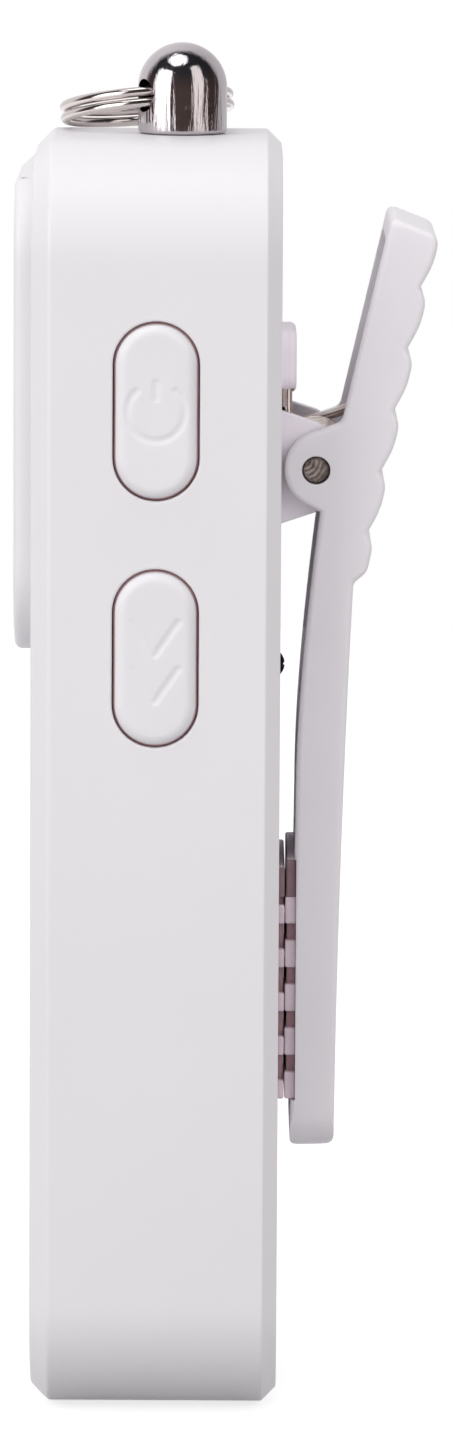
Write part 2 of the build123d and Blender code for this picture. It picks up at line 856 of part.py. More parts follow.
with BuildPart() as pull_pin_cap:
    with BuildSketch(Plane.XZ.offset(-pin_y)):
        with BuildLine():
            Polyline((0, cap_base), (cap_radius, cap_base), (cap_radius, cap_shoulder))
            RadiusArc((cap_radius, cap_shoulder), (0, cap_shoulder + cap_radius), -cap_radius)
            Line((0, cap_shoulder + cap_radius), (0, cap_base))
        make_face()
    revolve(axis=Axis((0, pin_y, 0), (0, 0, 1)))
    fillet(pull_pin_cap.edges().group_by(Axis.Z)[0], cap_edge)
    cross_start = Vector(0, pin_y, cross_hole_z) - ring_way * 2 * cap_radius
    with BuildSketch(Plane(origin=cross_start, z_dir=ring_way)):
        Circle(cross_hole_radius)
    extrude(amount=4 * cap_radius, mode=Mode.SUBTRACT)
    with BuildSketch(Plane.XY.offset(cap_base)):
        with Locations((0, pin_y)):
            Circle(plug_radius + press_gap)
    extrude(amount=plug_into_cap, mode=Mode.SUBTRACT)
pull_pin_cap.part.label = "pull_pin_cap"
export_step(pull_pin_cap.part, "parts/pull_pin_cap.step")

with BuildPart() as pull_pin_plug:
    with BuildSketch(Plane.XY.offset(plug_bottom)):
        with Locations((0, pin_y)):
            Circle(plug_radius)
    extrude(amount=plug_length + plug_into_cap)
    with BuildSketch(Plane.XY.offset(plug_bottom - tip_length)):
        with Locations((0, pin_y)):
            Circle(tip_radius)
    extrude(amount=tip_length)
    chamfer(pull_pin_plug.edges().group_by(Axis.Z)[0], tip_edge)
pull_pin_plug.part.label = "pull_pin_plug"
export_step(pull_pin_plug.part, "parts/pull_pin_plug.step")

# Socket for the pull pin, and its two leaf contacts with their tails on the main board.
with BuildPart() as pin_socket:
    with BuildSketch(Plane.XY.offset(socket_bottom)):
        with Locations((0, pin_y)):
            Circle(socket_radius)
            Circle(plug_hole_radius, mode=Mode.SUBTRACT)
    extrude(amount=socket_depth)
pin_socket.part.label = "pin_socket"
export_step(pin_socket.part, "parts/pin_socket.step")

contact_inner = tip_radius + contact_gap
contact_below_plug = 0.3
contact_top = plug_bottom - contact_below_plug
tail_width = 0.9
tail_inner = socket_radius - tail_width
tail_drop = 5.6
tail_thickness = 0.6

with BuildPart() as pin_contacts:
    for side in (-1, 1):
        with BuildSketch(Plane.XY.offset(socket_bottom)):
            with Locations((side * (contact_inner + contact_thickness / 2), pin_y)):
                Rectangle(contact_thickness, contact_width)
        extrude(amount=contact_top - socket_bottom)
        with BuildSketch(Plane.XY.offset(socket_bottom - contact_thickness)):
            with Locations((side * (contact_inner + socket_radius) / 2, pin_y)):
                Rectangle(socket_radius - contact_inner, contact_width)
        extrude(amount=contact_thickness)
        with BuildSketch(at_depth(board_front_y)):
            with Locations((side * (tail_inner + socket_radius) / 2, socket_bottom - tail_drop / 2)):
                Rectangle(tail_width, tail_drop)
        extrude(amount=tail_thickness)
pin_contacts.part.label = "pin_contacts"
export_step(pin_contacts.part, "parts/pin_contacts.step")


def tangent_biarc(start, start_way, end, end_way):
    """Two arcs that leave one point along its direction and reach the other along its own."""
    chord = end - start
    ways = start_way + end_way
    square = 2 * (start_way.dot(end_way) - 1)
    linear = -2 * chord.dot(ways)
    reach = (-linear - sqrt(linear**2 - 4 * square * chord.dot(chord))) / (2 * square)
    first = start + start_way * reach
    last = end - end_way * reach
    middle = (first + last) * 0.5
    TangentArc(start, middle, tangent=start_way)
    TangentArc(middle, end, tangent=(last - first).normalized())


# Split ring: two flat turns of wire with one step between them, hanging from the cross hole.
ring_level = (ring_wire + ring_turn_gap) / 2
ring_out = Vector(
    -sin(radians(ring_heading)) * cos(radians(ring_droop)),
    -cos(radians(ring_heading)) * cos(radians(ring_droop)),
    -sin(radians(ring_droop)),
)
ring_up = ring_out.cross(ring_way)
ring_hole_point = Vector(0, pin_y, cross_hole_z - ring_below_hole)
ring_bow = cap_radius**2 / (4 * ring_radius)
ring_centre = ring_hole_point + ring_out * (ring_radius - ring_bow)
ring_angles = [320, 410, 500, 590, 635, 675, 765, 855, 945, 990]
ring_step_from = 635


def ring_point(angle):
    """A point of the ring's wire and the wire's direction there."""
    turn = radians(angle)
    level = ring_level if angle <= ring_step_from else -ring_level
    spoke = ring_out * cos(turn) + ring_way * sin(turn)
    way = ring_way * cos(turn) - ring_out * sin(turn)
    return ring_centre + spoke * ring_radius + ring_up * level, way


with BuildPart() as split_ring:
    with BuildLine() as ring_route:
        for here, there in zip(ring_angles, ring_angles[1:]):
            here_point, here_way = ring_point(here)
            there_point, there_way = ring_point(there)
            tangent_biarc(here_point, here_way, there_point, there_way)
    with BuildSketch(Plane(origin=ring_route.line @ 0, z_dir=ring_route.line % 0)):
        Circle(ring_wire / 2)
    sweep(path=ring_route.line)
split_ring.part.label = "split_ring"
export_step(split_ring.part, "parts/split_ring.step")


def lever_tangent(point_y, point_z, upper):
    """Where a line from this point touches the round nose of the lever's ear."""
    away_y = point_y - hinge_y
    away_z = point_z - hinge_z
    heading = degrees(atan2(away_z, away_y))
    swing = degrees(acos(ear_radius / hypot(away_y, away_z)))
    angle = radians(heading + swing if upper else heading - swing)
    return hinge_y + ear_radius * cos(angle), hinge_z + ear_radius * sin(angle)


# Clip lever: a handle with finger notches above the hinge and a slim arm below it, hollowed from
# its inner side so that the bracket's ears and the spring sit between its side walls.
handle_tip_out = 5.74
handle_tip_y = hinge_y + handle_tip_out
end_slope = 0.375
handle_root = (hinge_y + 2.0, hinge_z + 4.0)
arm_root = (hinge_y + 0.35, hinge_z - 3.3)
arm_bend = (hinge_y - 1.01, hinge_z - 16.2)
arm_knee = (hinge_y - 1.44, hinge_z - 26.2)
arm_tip = (hinge_y - 1.78, hinge_z - arm_reach)
arm_tip_outer = (hinge_y + 1.72, hinge_z - arm_reach + 0.25)
arm_outer_middle = (hinge_y + 2.13, hinge_z - 31.2)
arm_outer_root = (hinge_y + 2.97, hinge_z - 8.9)
grip_foot_rise = -8.0
handle_top_rise = (handle_reach + end_slope * (handle_tip_out - grip_offset)) / (1 + end_slope * grip_slope)
handle_top_round = 1.1
notch_rounds = [0.5, 0.2, 0.7]
grip_foot_round = 0.6

grip_points = [(handle_tip_y, hinge_z + handle_reach), grip_line(handle_top_rise)]
grip_radii = [handle_top_round]
for number in range(notch_count):
    notch_rise = notch_first - number * notch_pitch
    grip_points += [
        grip_line(notch_rise + notch_above),
        grip_line(notch_rise, grip_depth),
        grip_line(notch_rise - notch_below),
    ]
    grip_radii += notch_rounds
grip_points += [grip_line(grip_foot_rise), arm_outer_root]
grip_radii += [grip_foot_round]

channel_foot = (hinge_y + 1.35, hinge_z - 14.0)
channel_bend = (hinge_y + 1.75, hinge_z + grip_foot_rise - 1.0)
channel_run_in = 3.0
channel_below_top = 1.8
channel_top_rise = handle_reach - channel_below_top

with BuildPart() as clip_lever:
    with BuildSketch(Plane.YZ.offset(-clip_half)):
        with BuildLine():
            FilletPolyline(*grip_points, radius=grip_radii)
            ThreePointArc(arm_outer_root, arm_outer_middle, arm_tip_outer)
            Polyline(arm_tip_outer, arm_tip, arm_knee)
            ThreePointArc(arm_knee, arm_bend, arm_root)
            Line(arm_root, lever_tangent(*arm_root, upper=False))
            ThreePointArc(
                lever_tangent(*arm_root, upper=False),
                (hinge_y - ear_radius, hinge_z),
                lever_tangent(*handle_root, upper=True),
            )
            Polyline(lever_tangent(*handle_root, upper=True), handle_root, grip_points[0])
        make_face()
    extrude(amount=clip_width)
    side_edges = clip_lever.edges().group_by(Axis.X)
    chamfer(side_edges[0] + side_edges[-1], lever_edge)
    with BuildSketch(Plane.YZ.offset(-channel_half)):
        with BuildLine():
            Polyline(
                (back_y, channel_foot[1]),
                channel_foot,
                channel_bend,
                grip_line(grip_foot_rise + channel_run_in, grip_depth + skin_thickness),
                grip_line(channel_top_rise, grip_depth + skin_thickness),
                (back_y, hinge_z + channel_top_rise),
                close=True,
            )
        make_face()
    extrude(amount=2 * channel_half, mode=Mode.SUBTRACT)
    with BuildSketch(Plane.YZ.offset(-clip_half)):
        with Locations((back_y + arm_pad_back, pad_high)):
            Rectangle(arm_pad_back, jaw_length, align=(Align.MAX, Align.MAX))
    extrude(amount=clip_width, mode=Mode.SUBTRACT)
    with BuildSketch(Plane.YZ.offset(-clip_half)):
        with Locations((hinge_y, hinge_z)):
            Circle(lever_hole_radius)
    extrude(amount=clip_width, mode=Mode.SUBTRACT)
    lever_low = hinge_z - arm_reach
    lever_high = hinge_z + handle_reach
    with BuildSketch(at_depth(back_y + 4 * clip_half)):
        with BuildLine():
            FilletPolyline(
                (0, lever_high),
                (clip_half, lever_high),
                (clip_half, lever_low),
                (-clip_half, lever_low),
                (-clip_half, lever_high),
                (-clip_half / 2, lever_high),
                radius=[lever_top_corner, lever_foot_corner, lever_foot_corner, lever_top_corner],
            )
            Line((-clip_half / 2, lever_high), (0, lever_high))
        make_face()
    extrude(amount=4 * clip_half, mode=Mode.INTERSECT)
clip_lever.part.label = "clip_lever"
export_step(clip_lever.part, "parts/clip_lever.step")


# Clip bracket: a base let into the cover, two ears for the hinge pin, the retainer that the
# spring's fixed leg tucks under, and the hook that holds its top end behind the cover.
hinge_screw_z = hinge_z - clip_screw_below_hinge
ear_foot_y = back_y - base_thickness
ear_low = (ear_foot_y, hinge_z - 4.7)
ear_low_shoulder = (hinge_y + 0.2, hinge_z - 3.4)
ear_nose_low = (hinge_y + 2.0, hinge_z - 2.0)
ear_nose_high = (hinge_y + 2.0, hinge_z + 2.0)
ear_high_shoulder = (hinge_y + 0.3, hinge_z + 3.5)
ear_high = (ear_foot_y, hinge_z + 4.8)

with BuildPart() as clip_bracket:
    with BuildSketch(at_depth(back_y)):
        with Locations((0, base_mid)):
            RectangleRounded(base_width, base_height, base_corner)
    extrude(amount=base_thickness)
    with BuildSketch(at_depth(back_y + retainer_height)):
        with Locations((0, retainer_z)):
            RectangleRounded(retainer_width, retainer_length, retainer_corner)
    extrude(amount=retainer_height)
    fillet(clip_bracket.faces().sort_by(Axis.Y)[-1].edges(), retainer_round)
    with BuildSketch(Plane.YZ.offset(bracket_inner)):
        with BuildLine():
            FilletPolyline(
                ear_low,
                ear_low_shoulder,
                ear_nose_low,
                ear_nose_high,
                ear_high_shoulder,
                ear_high,
                radius=bracket_round,
            )
            Line(ear_high, ear_low)
        make_face()
        with Locations((hinge_y, hinge_z)):
            Circle(pin_radius + press_gap, mode=Mode.SUBTRACT)
    extrude(amount=bracket_ear)
    mirror(about=Plane.YZ)
    with BuildSketch(at_depth(back_y)):
        with Locations((0, hinge_z)):
            Rectangle(2 * bracket_inner, 2 * coil_bay_rise)
        with Locations((0, hinge_screw_z)):
            Circle(clip_screw_shank + press_gap)
    extrude(amount=base_thickness, mode=Mode.SUBTRACT)
    with BuildSketch(at_depth(spring_leg_y + leg_room)):
        with Locations((spring_leg_x, retainer_z - retainer_length / 2)):
            Rectangle(2 * leg_room, 2 * spring_leg_tuck)
    extrude(amount=2 * leg_room, mode=Mode.SUBTRACT)
    with BuildSketch(at_depth(ear_foot_y)):
        with Locations((0, base_high)):
            Rectangle(hook_width, hook_thickness, align=(Align.CENTER, Align.MAX))
    extrude(amount=hook_drop)
    with BuildSketch(at_depth(inner_back_y - fit_gap)):
        with Locations((0, base_high - hook_thickness)):
            Rectangle(hook_width, hook_reach, align=(Align.CENTER, Align.MIN))
    extrude(amount=hook_drop - (ear_foot_y - inner_back_y) - fit_gap)
clip_bracket.part.label = "clip_bracket"
export_step(clip_bracket.part, "parts/clip_bracket.step")


# Hinge pin: a plain steel pin pressed into the bracket's ears, its ends inside the lever's.
pin_half = clip_half - pin_recess
pin_edge = 0.12

with BuildPart() as hinge_pin:
    with BuildSketch(Plane.YZ.offset(-pin_half)):
        with Locations((hinge_y, hinge_z)):
            Circle(pin_radius)
    extrude(amount=2 * pin_half)
    chamfer(hinge_pin.edges().filter_by(GeomType.CIRCLE), pin_edge)
hinge_pin.part.label = "hinge_pin"
export_step(hinge_pin.part, "parts/hinge_pin.step")


# Clip spring: one wire wound round the pin. Its fixed leg lies along the case and ends under the
# retainer, and its free leg lies along the inside of the lever's handle.
coil_from = 90 + spring_lean
lean = radians(spring_lean)
skin_inset = grip_depth + skin_thickness
skin_gap = (spring_wire / 2 + spring_skin_gap) * sqrt(1 + grip_slope**2)


def coil_point(turns, flat=False):
    """A point of the coil, this many turns from its start, and the wire's direction there."""
    angle = radians(coil_from) + 2 * pi * turns
    spot = Vector(
        spring_pitch * turns - spring_leg_x,
        hinge_y + spring_radius * cos(angle),
        hinge_z + spring_radius * sin(angle),
    )
    advance = 0 if flat else spring_pitch / (2 * pi)
    way = Vector(advance, -spring_radius * sin(angle), spring_radius * cos(angle))
    return spot, way.normalized()


coil_spans = 4 * spring_whole_turns
coil_stops = [coil_turns * number / coil_spans for number in range(coil_spans + 1)]
coil_marks = [coil_point(turns, turns in (coil_stops[0], coil_stops[-1])) for turns in coil_stops]
free_start = coil_marks[0][0]
free_run = (
    hinge_y + grip_offset - skin_inset - skin_gap + grip_slope * (free_start.Z - hinge_z) - free_start.Y
) / (1 - grip_slope * tan(lean))
free_bend = free_start + Vector(0, free_run, free_run * tan(lean))
free_tip = free_bend + Vector(0, grip_slope, 1).normalized() * spring_leg
fixed_start = coil_marks[-1][0]
fixed_run = fixed_start.Y - spring_leg_y
fixed_bend = fixed_start + Vector(0, -fixed_run, fixed_run * tan(lean))
fixed_tip = Vector(fixed_start.X, spring_leg_y, retainer_z - retainer_length / 2 + spring_leg_tuck - fit_gap)

with BuildPart() as clip_spring:
    with BuildLine() as spring_route:
        FilletPolyline(free_tip, free_bend, free_start, radius=spring_bend)
        for here, there in zip(coil_marks, coil_marks[1:]):
            tangent_biarc(here[0], here[1], there[0], there[1])
        FilletPolyline(fixed_start, fixed_bend, fixed_tip, radius=spring_bend)
    with BuildSketch(Plane(origin=free_tip, z_dir=free_bend - free_tip)):
        Circle(spring_wire / 2)
    sweep(path=spring_route.line)
clip_spring.part.label = "clip_spring"
export_step(clip_spring.part, "parts/clip_spring.step")


def least_gap(samples, diameter, apart):
    """The least space between stretches of a wire that lie further along it than apart samples."""
    distances = [
        (samples[one] - samples[other]).length
        for one in range(len(samples))
        for other in range(one + apart, len(samples))
    ]
    return min(distances) - diameter


coil_samples = [coil_point(coil_turns * number / 360)[0] for number in range(361)]
print("clip spring, least gap to itself (mm):", round(least_gap(coil_samples, spring_wire, 26), 3))
spring_length = sum(edge.length for edge in spring_route.edges())
spring_volume = spring_length * pi * spring_wire**2 / 4
print("clip spring, volume and its wire's (mm3):", clip_spring.part.volume, spring_volume)


def tooth_outline(seat_y, groove_y, tip_y, high_z, low_z):
    """The side outline of a jaw pad whose teeth stand from groove_y to tip_y."""
    points = [(seat_y, low_z), (seat_y, high_z), (groove_y, high_z)]
    for number in range(tooth_count):
        middle = pad_high - tooth_below_pad_top - number * tooth_pitch
        points += [
            (groove_y, middle + tooth_foot / 2),
            (tip_y, middle + tooth_land / 2),
            (tip_y, middle - tooth_land / 2),
            (groove_y, middle - tooth_foot / 2),
        ]
    points.append((groove_y, low_z))
    return points


# Jaw pads: soft ridged strips, one on the case's back and one let into the lever's arm.
case_tip_y = back_y + case_pad_thickness
arm_tip_y = case_tip_y + jaw_gap

with BuildPart() as case_jaw_pad:
    with BuildSketch(Plane.YZ.offset(-jaw_width / 2)):
        with BuildLine():
            Polyline(
                *tooth_outline(
                    back_y, case_tip_y - tooth_depth, case_tip_y, pad_high - case_pad_drop, pad_low
                ),
                close=True,
            )
        make_face()
    extrude(amount=jaw_width)
case_jaw_pad.part.label = "case_jaw_pad"
export_step(case_jaw_pad.part, "parts/case_jaw_pad.step")

with BuildPart() as arm_jaw_pad:
    with BuildSketch(Plane.YZ.offset(-jaw_width / 2)):
        with BuildLine():
            Polyline(
                *tooth_outline(back_y + arm_pad_back, arm_tip_y + tooth_depth, arm_tip_y, pad_high, pad_low),
                close=True,
            )
        make_face()
    extrude(amount=jaw_width)
arm_jaw_pad.part.label = "arm_jaw_pad"
export_step(arm_jaw_pad.part, "parts/arm_jaw_pad.step")


# Screws, each drawn with its axis along Z and its seat at the origin, then set in their places.
flat_taper = 0.6
flat_point = 0.3
flat_recess = (1.9, 0.45)
flat_recess_depth = 0.6
pan_head = 1.0
pan_taper = 0.5
pan_recess = (1.5, 0.4)
pan_recess_depth = 0.5
dome_taper = 0.3
dome_recess = (1.0, 0.22)
dome_recess_depth = 0.25


def cross_recess(sides, depth, top):
    """Two crossed slots that reach this deep below the top of a screw's head."""
    with BuildPart() as recess:
        with BuildSketch(Plane.XY.offset(top)):
            Rectangle(*sides)
            Rectangle(*reversed(sides))
        extrude(amount=-depth)
    return recess.part


with BuildPart() as flat_screw:
    with BuildSketch(Plane.XZ):
        with BuildLine():
            Polyline(
                (0, 0),
                (cover_screw_head, 0),
                (cover_screw_shank, cover_screw_shank - cover_screw_head),
                (cover_screw_shank, -cover_screw_length + flat_taper),
                (flat_point, -cover_screw_length),
                (0, -cover_screw_length),
                close=True,
            )
        make_face()
    revolve(axis=Axis.Z)
    add(cross_recess(flat_recess, flat_recess_depth, 0), mode=Mode.SUBTRACT)

with BuildPart() as cover_screws:
    with Locations(*[facing_back(x, back_y, z) for x, z in column_places]):
        add(flat_screw.part)
cover_screws.part.label = "cover_screws"
export_step(cover_screws.part, "parts/cover_screws.step")

with BuildPart() as pan_screw:
    with BuildSketch(Plane.XZ):
        with BuildLine():
            Polyline(
                (0, -board_screw_length),
                (board_screw_shank, -board_screw_length + pan_taper),
                (board_screw_shank, 0),
                (board_screw_head, 0),
                (board_screw_head, pan_head / 2),
            )
            TangentArc((0, pan_head), (board_screw_head, pan_head / 2), tangent=(1, 0))
            Line((0, pan_head), (0, -board_screw_length))
        make_face()
    revolve(axis=Axis.Z)
    add(cross_recess(pan_recess, pan_recess_depth, pan_head), mode=Mode.SUBTRACT)

with BuildPart() as board_screws:
    with Locations(*[facing_back(x, board_back_y, z) for x, z in post_places]):
        add(pan_screw.part)
board_screws.part.label = "board_screws"
export_step(board_screws.part, "parts/board_screws.step")

with BuildPart() as dome_screw:
    with BuildSketch(Plane.XZ):
        with BuildLine():
            Polyline(
                (0, clip_screw_dome),
                (0, -clip_screw_length),
                (clip_screw_shank, -clip_screw_length + dome_taper),
                (clip_screw_shank, 0),
                (clip_screw_head, 0),
            )
            TangentArc((0, clip_screw_dome), (clip_screw_head, 0), tangent=(1, 0))
        make_face()
    revolve(axis=Axis.Z)
    add(cross_recess(dome_recess, dome_recess_depth, clip_screw_dome), mode=Mode.SUBTRACT)

with BuildPart() as clip_screw:
    with Locations(facing_back(0, back_y, hinge_screw_z)):
        add(dome_screw.part)
clip_screw.part.label = "clip_screw"
export_step(clip_screw.part, "parts/clip_screw.step")
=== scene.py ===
from math import acos, cos, hypot, pi, radians, sin, sqrt, tan

import bpy
from mathutils import Matrix, Vector


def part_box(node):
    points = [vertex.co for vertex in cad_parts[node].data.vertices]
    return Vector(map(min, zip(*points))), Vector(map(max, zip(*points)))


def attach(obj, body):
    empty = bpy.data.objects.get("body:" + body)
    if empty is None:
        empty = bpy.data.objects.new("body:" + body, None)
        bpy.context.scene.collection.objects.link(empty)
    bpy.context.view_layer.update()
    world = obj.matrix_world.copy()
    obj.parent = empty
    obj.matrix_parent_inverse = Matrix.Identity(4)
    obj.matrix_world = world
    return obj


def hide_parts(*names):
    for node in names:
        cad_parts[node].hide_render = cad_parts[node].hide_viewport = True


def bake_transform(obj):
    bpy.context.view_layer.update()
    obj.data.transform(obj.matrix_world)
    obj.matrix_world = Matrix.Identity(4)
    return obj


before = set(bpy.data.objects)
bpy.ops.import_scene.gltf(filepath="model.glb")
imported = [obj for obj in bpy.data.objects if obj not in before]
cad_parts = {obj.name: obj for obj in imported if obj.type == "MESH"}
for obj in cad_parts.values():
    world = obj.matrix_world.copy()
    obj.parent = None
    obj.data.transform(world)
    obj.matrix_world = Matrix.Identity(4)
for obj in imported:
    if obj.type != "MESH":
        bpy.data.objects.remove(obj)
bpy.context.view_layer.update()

mm = 0.001


# Camera: a long lens level with the alarm's side, a little above it and turned by a hair, so that
# the front edge is at the left of the picture and the clip at its right.
look_at = Vector((0, 5.51, 53.2)) * mm
camera_distance = 650 * mm
camera_rise = radians(7.6)
camera_roll = 0.0052
focal_length = 203.7

camera_data = bpy.data.cameras.new("camera")
camera_data.sensor_width = 36
camera_data.lens = focal_length
camera = bpy.data.objects.new("camera", camera_data)
bpy.context.scene.collection.objects.link(camera)
camera.matrix_world = (
    Matrix.Translation(look_at + camera_distance * Vector((cos(camera_rise), 0, sin(camera_rise))))
    @ Matrix.Rotation(pi / 2, 4, "Z")
    @ Matrix.Rotation(pi / 2 - camera_rise, 4, "X")
    @ Matrix.Rotation(camera_roll, 4, "Z")
)
bpy.context.scene.camera = camera
bpy.context.scene.view_settings.view_transform = "Standard"


# Studio: a white sweep, seen white by the camera and in reflections from behind, and a darker room on
# the camera's side, brown low down and charcoal overhead, which the chrome shows between its boxes.
def put(tree, kind, settings=None, ordered=(), **named):
    """A new shader node, with inputs given in order or by name, as values or other nodes' outputs."""
    node = tree.nodes.new("ShaderNode" + kind)
    for name, value in (settings or {}).items():
        setattr(node, name, value)
    inputs = [(node.inputs[number], value) for number, value in enumerate(ordered)]
    inputs += [(node.inputs[name.replace("_", " ")], value) for name, value in named.items()]
    for socket, value in inputs:
        if isinstance(value, bpy.types.NodeSocket):
            tree.links.new(value, socket)
        else:
            socket.default_value = value
    return node


def faded(tree, value, start, end, low, high):
    """A value that eases from low to high while another goes from start to end."""
    fade = put(
        tree, "MapRange", {"interpolation_type": "SMOOTHSTEP"}, Value=value,
        From_Min=start, From_Max=end, To_Min=low, To_Max=high,
    )
    return fade.outputs["Result"]


def combined(tree, operation, first, second):
    """Two values added, multiplied or compared."""
    return put(tree, "Math", {"operation": operation}, (first, second)).outputs["Value"]


world = bpy.data.worlds.new("studio")
bpy.context.scene.world = world
world.use_nodes = True
sky = world.node_tree
sky.nodes.clear()
ray = put(sky, "LightPath")
way = put(sky, "SeparateXYZ", Vector=put(sky, "TexCoord").outputs["Generated"])
room_dark = put(sky, "ValToRGB", Fac=way.outputs["Z"])
room_dark.color_ramp.elements[0].color = (0.09, 0.058, 0.053, 1)
room_dark.color_ramp.elements[1].position = 0.65
room_dark.color_ramp.elements[1].color = (0.03, 0.032, 0.038, 1)
room_tone = put(
    sky, "MixRGB", Fac=faded(sky, way.outputs["X"], -0.46, -0.16, 1.0, 0.0),
    Color1=room_dark.outputs["Color"], Color2=(1, 0.98, 1, 1),
)
reflection = put(
    sky, "Background", Color=room_tone.outputs["Color"],
    Strength=faded(sky, way.outputs["Y"], -0.3, 0.6, 0.9, 0.66),
)
overhead = faded(sky, way.outputs["Z"], -0.3, 0.9, 0.26, 0.56)
frontal = faded(sky, way.outputs["X"], 0.2, 1.0, 0.0, 0.385)
behind = faded(sky, way.outputs["X"], -1.0, -0.3, 0.8, 0.0)
daylight = combined(sky, "ADD", overhead, combined(sky, "ADD", frontal, behind))
fill = put(sky, "Background", Color=(1, 0.99, 1, 1), Strength=daylight)
backdrop = put(sky, "Background", Color=(1, 1, 1, 1), Strength=1.0)
mirrored = combined(sky, "MAXIMUM", ray.outputs["Is Glossy Ray"], ray.outputs["Is Transmission Ray"])
lit = put(
    sky, "MixShader", ordered=(mirrored, fill.outputs["Background"], reflection.outputs["Background"])
)
seen = put(
    sky, "MixShader",
    ordered=(ray.outputs["Is Camera Ray"], lit.outputs["Shader"], backdrop.outputs["Background"]),
)
put(sky, "OutputWorld", Surface=seen.outputs["Shader"])


def light_box(name, azimuth, reach, middle_z, width, height, radiance, tint=(1, 1, 1)):
    """An upright soft box this far from the alarm, at this azimuth from the camera towards +Y."""
    lamp_data = bpy.data.lights.new(name, "AREA")
    lamp_data.shape = "RECTANGLE"
    lamp_data.size = width
    lamp_data.size_y = height
    lamp_data.energy = radiance * pi * width * height
    lamp_data.color = tint
    lamp = bpy.data.objects.new(name, lamp_data)
    bpy.context.scene.collection.objects.link(lamp)
    lamp.matrix_world = (
        Matrix.Rotation(radians(azimuth), 4, "Z")
        @ Matrix.Translation((reach, 0, middle_z))
        @ Matrix.Rotation(pi / 2, 4, "Y")
        @ Matrix.Rotation(pi / 2, 4, "Z")
    )
    lamp.visible_camera = False
    return lamp


light_box("front_box", -53, 0.6, 0.33, 0.48, 0.62, 2.25)
back_box = light_box("back_box", 45.5, 0.6, 0.37, 0.36, 0.54, 1.7, (1, 0.98, 0.97))
back_box.visible_glossy = False
back_strip = light_box("back_strip", 45.5, 0.58, 0.45, 0.3, 0.9, 1.15, (1, 0.95, 0.92))
back_strip.visible_diffuse = False
top_box = light_box("top_box", 0, 0.0, 0.8, 0.5, 0.5, 1.55)
top_box.data.shape = "ELLIPSE"
top_box.matrix_world = Matrix.Translation((0.15, -0.13, 0.8)) @ Matrix.Rotation(pi / 2, 4, "Z")

bpy.ops.mesh.primitive_circle_add(vertices=96, radius=500 * mm, fill_type="NGON")
floor = bpy.context.object
floor.name = "floor"
floor_paint = bpy.data.materials.new("floor_paint")
floor_paint.use_nodes = True
ground = floor_paint.node_tree
ground_shader = ground.nodes["Principled BSDF"]
ground_shader.inputs["Base Color"].default_value = (0.42, 0.41, 0.42, 1)
ground_shader.inputs["Roughness"].default_value = 0.9
ground_ray = put(ground, "LightPath")
ground_seen = combined(
    ground, "MAXIMUM", ground_ray.outputs["Is Camera Ray"], ground_ray.outputs["Is Glossy Ray"]
)
ground_shader.inputs["Emission Color"].default_value = (1, 1, 1, 1)
ground.links.new(
    combined(ground, "MULTIPLY", ground_seen, 0.74), ground_shader.inputs["Emission Strength"]
)
floor.data.materials.append(floor_paint)


# Main housing: a deep tub of white plastic, moulded in one piece with its posts and screw columns.
# Its outer skin has a fine satin grain, and every edge leaves the mould a little rounded.
def tone(red, green, blue):
    """A colour given as it looks on a screen, from 0 to 255, as the shader's linear values."""
    return tuple((value / 255) ** 2.2 for value in (red, green, blue))


def surface(name, dark, light, patch, roughness, grain, relief, metallic=0.0):
    """A material whose colour and gloss drift in patches and whose surface carries a fine grain."""
    material = bpy.data.materials.new(name)
    material.use_nodes = True
    tree = material.node_tree
    shader = tree.nodes["Principled BSDF"]
    shader.inputs["Metallic"].default_value = metallic
    place = put(tree, "TexCoord").outputs["Object"]
    drift = put(tree, "TexNoise", Vector=place, Scale=1 / patch, Detail=3.0)
    tint = put(tree, "ValToRGB", Fac=drift.outputs["Fac"])
    tint.color_ramp.elements[0].position = 0.3
    tint.color_ramp.elements[0].color = (*dark, 1)
    tint.color_ramp.elements[1].position = 0.7
    tint.color_ramp.elements[1].color = (*light, 1)
    gloss = put(
        tree, "MapRange", Value=drift.outputs["Fac"], From_Min=0.3, From_Max=0.7,
        To_Min=roughness[0], To_Max=roughness[1],
    )
    fine = put(tree, "TexNoise", Vector=place, Scale=1 / grain, Detail=2.0)
    bump = put(tree, "Bump", Height=fine.outputs["Fac"], Distance=relief)
    tree.links.new(tint.outputs["Color"], shader.inputs["Base Color"])
    tree.links.new(gloss.outputs["Result"], shader.inputs["Roughness"])
    tree.links.new(bump.outputs["Normal"], shader.inputs["Normal"])
    return material


def pick(piece):
    """Selects this piece alone and makes it the active one."""
    bpy.ops.object.select_all(action="DESELECT")
    piece.select_set(True)
    bpy.context.view_layer.objects.active = piece


weld_gap = 0.0005 * mm
flat_within = radians(0.5)
sharp_from = radians(28)
seam_gap = 0.01 * mm


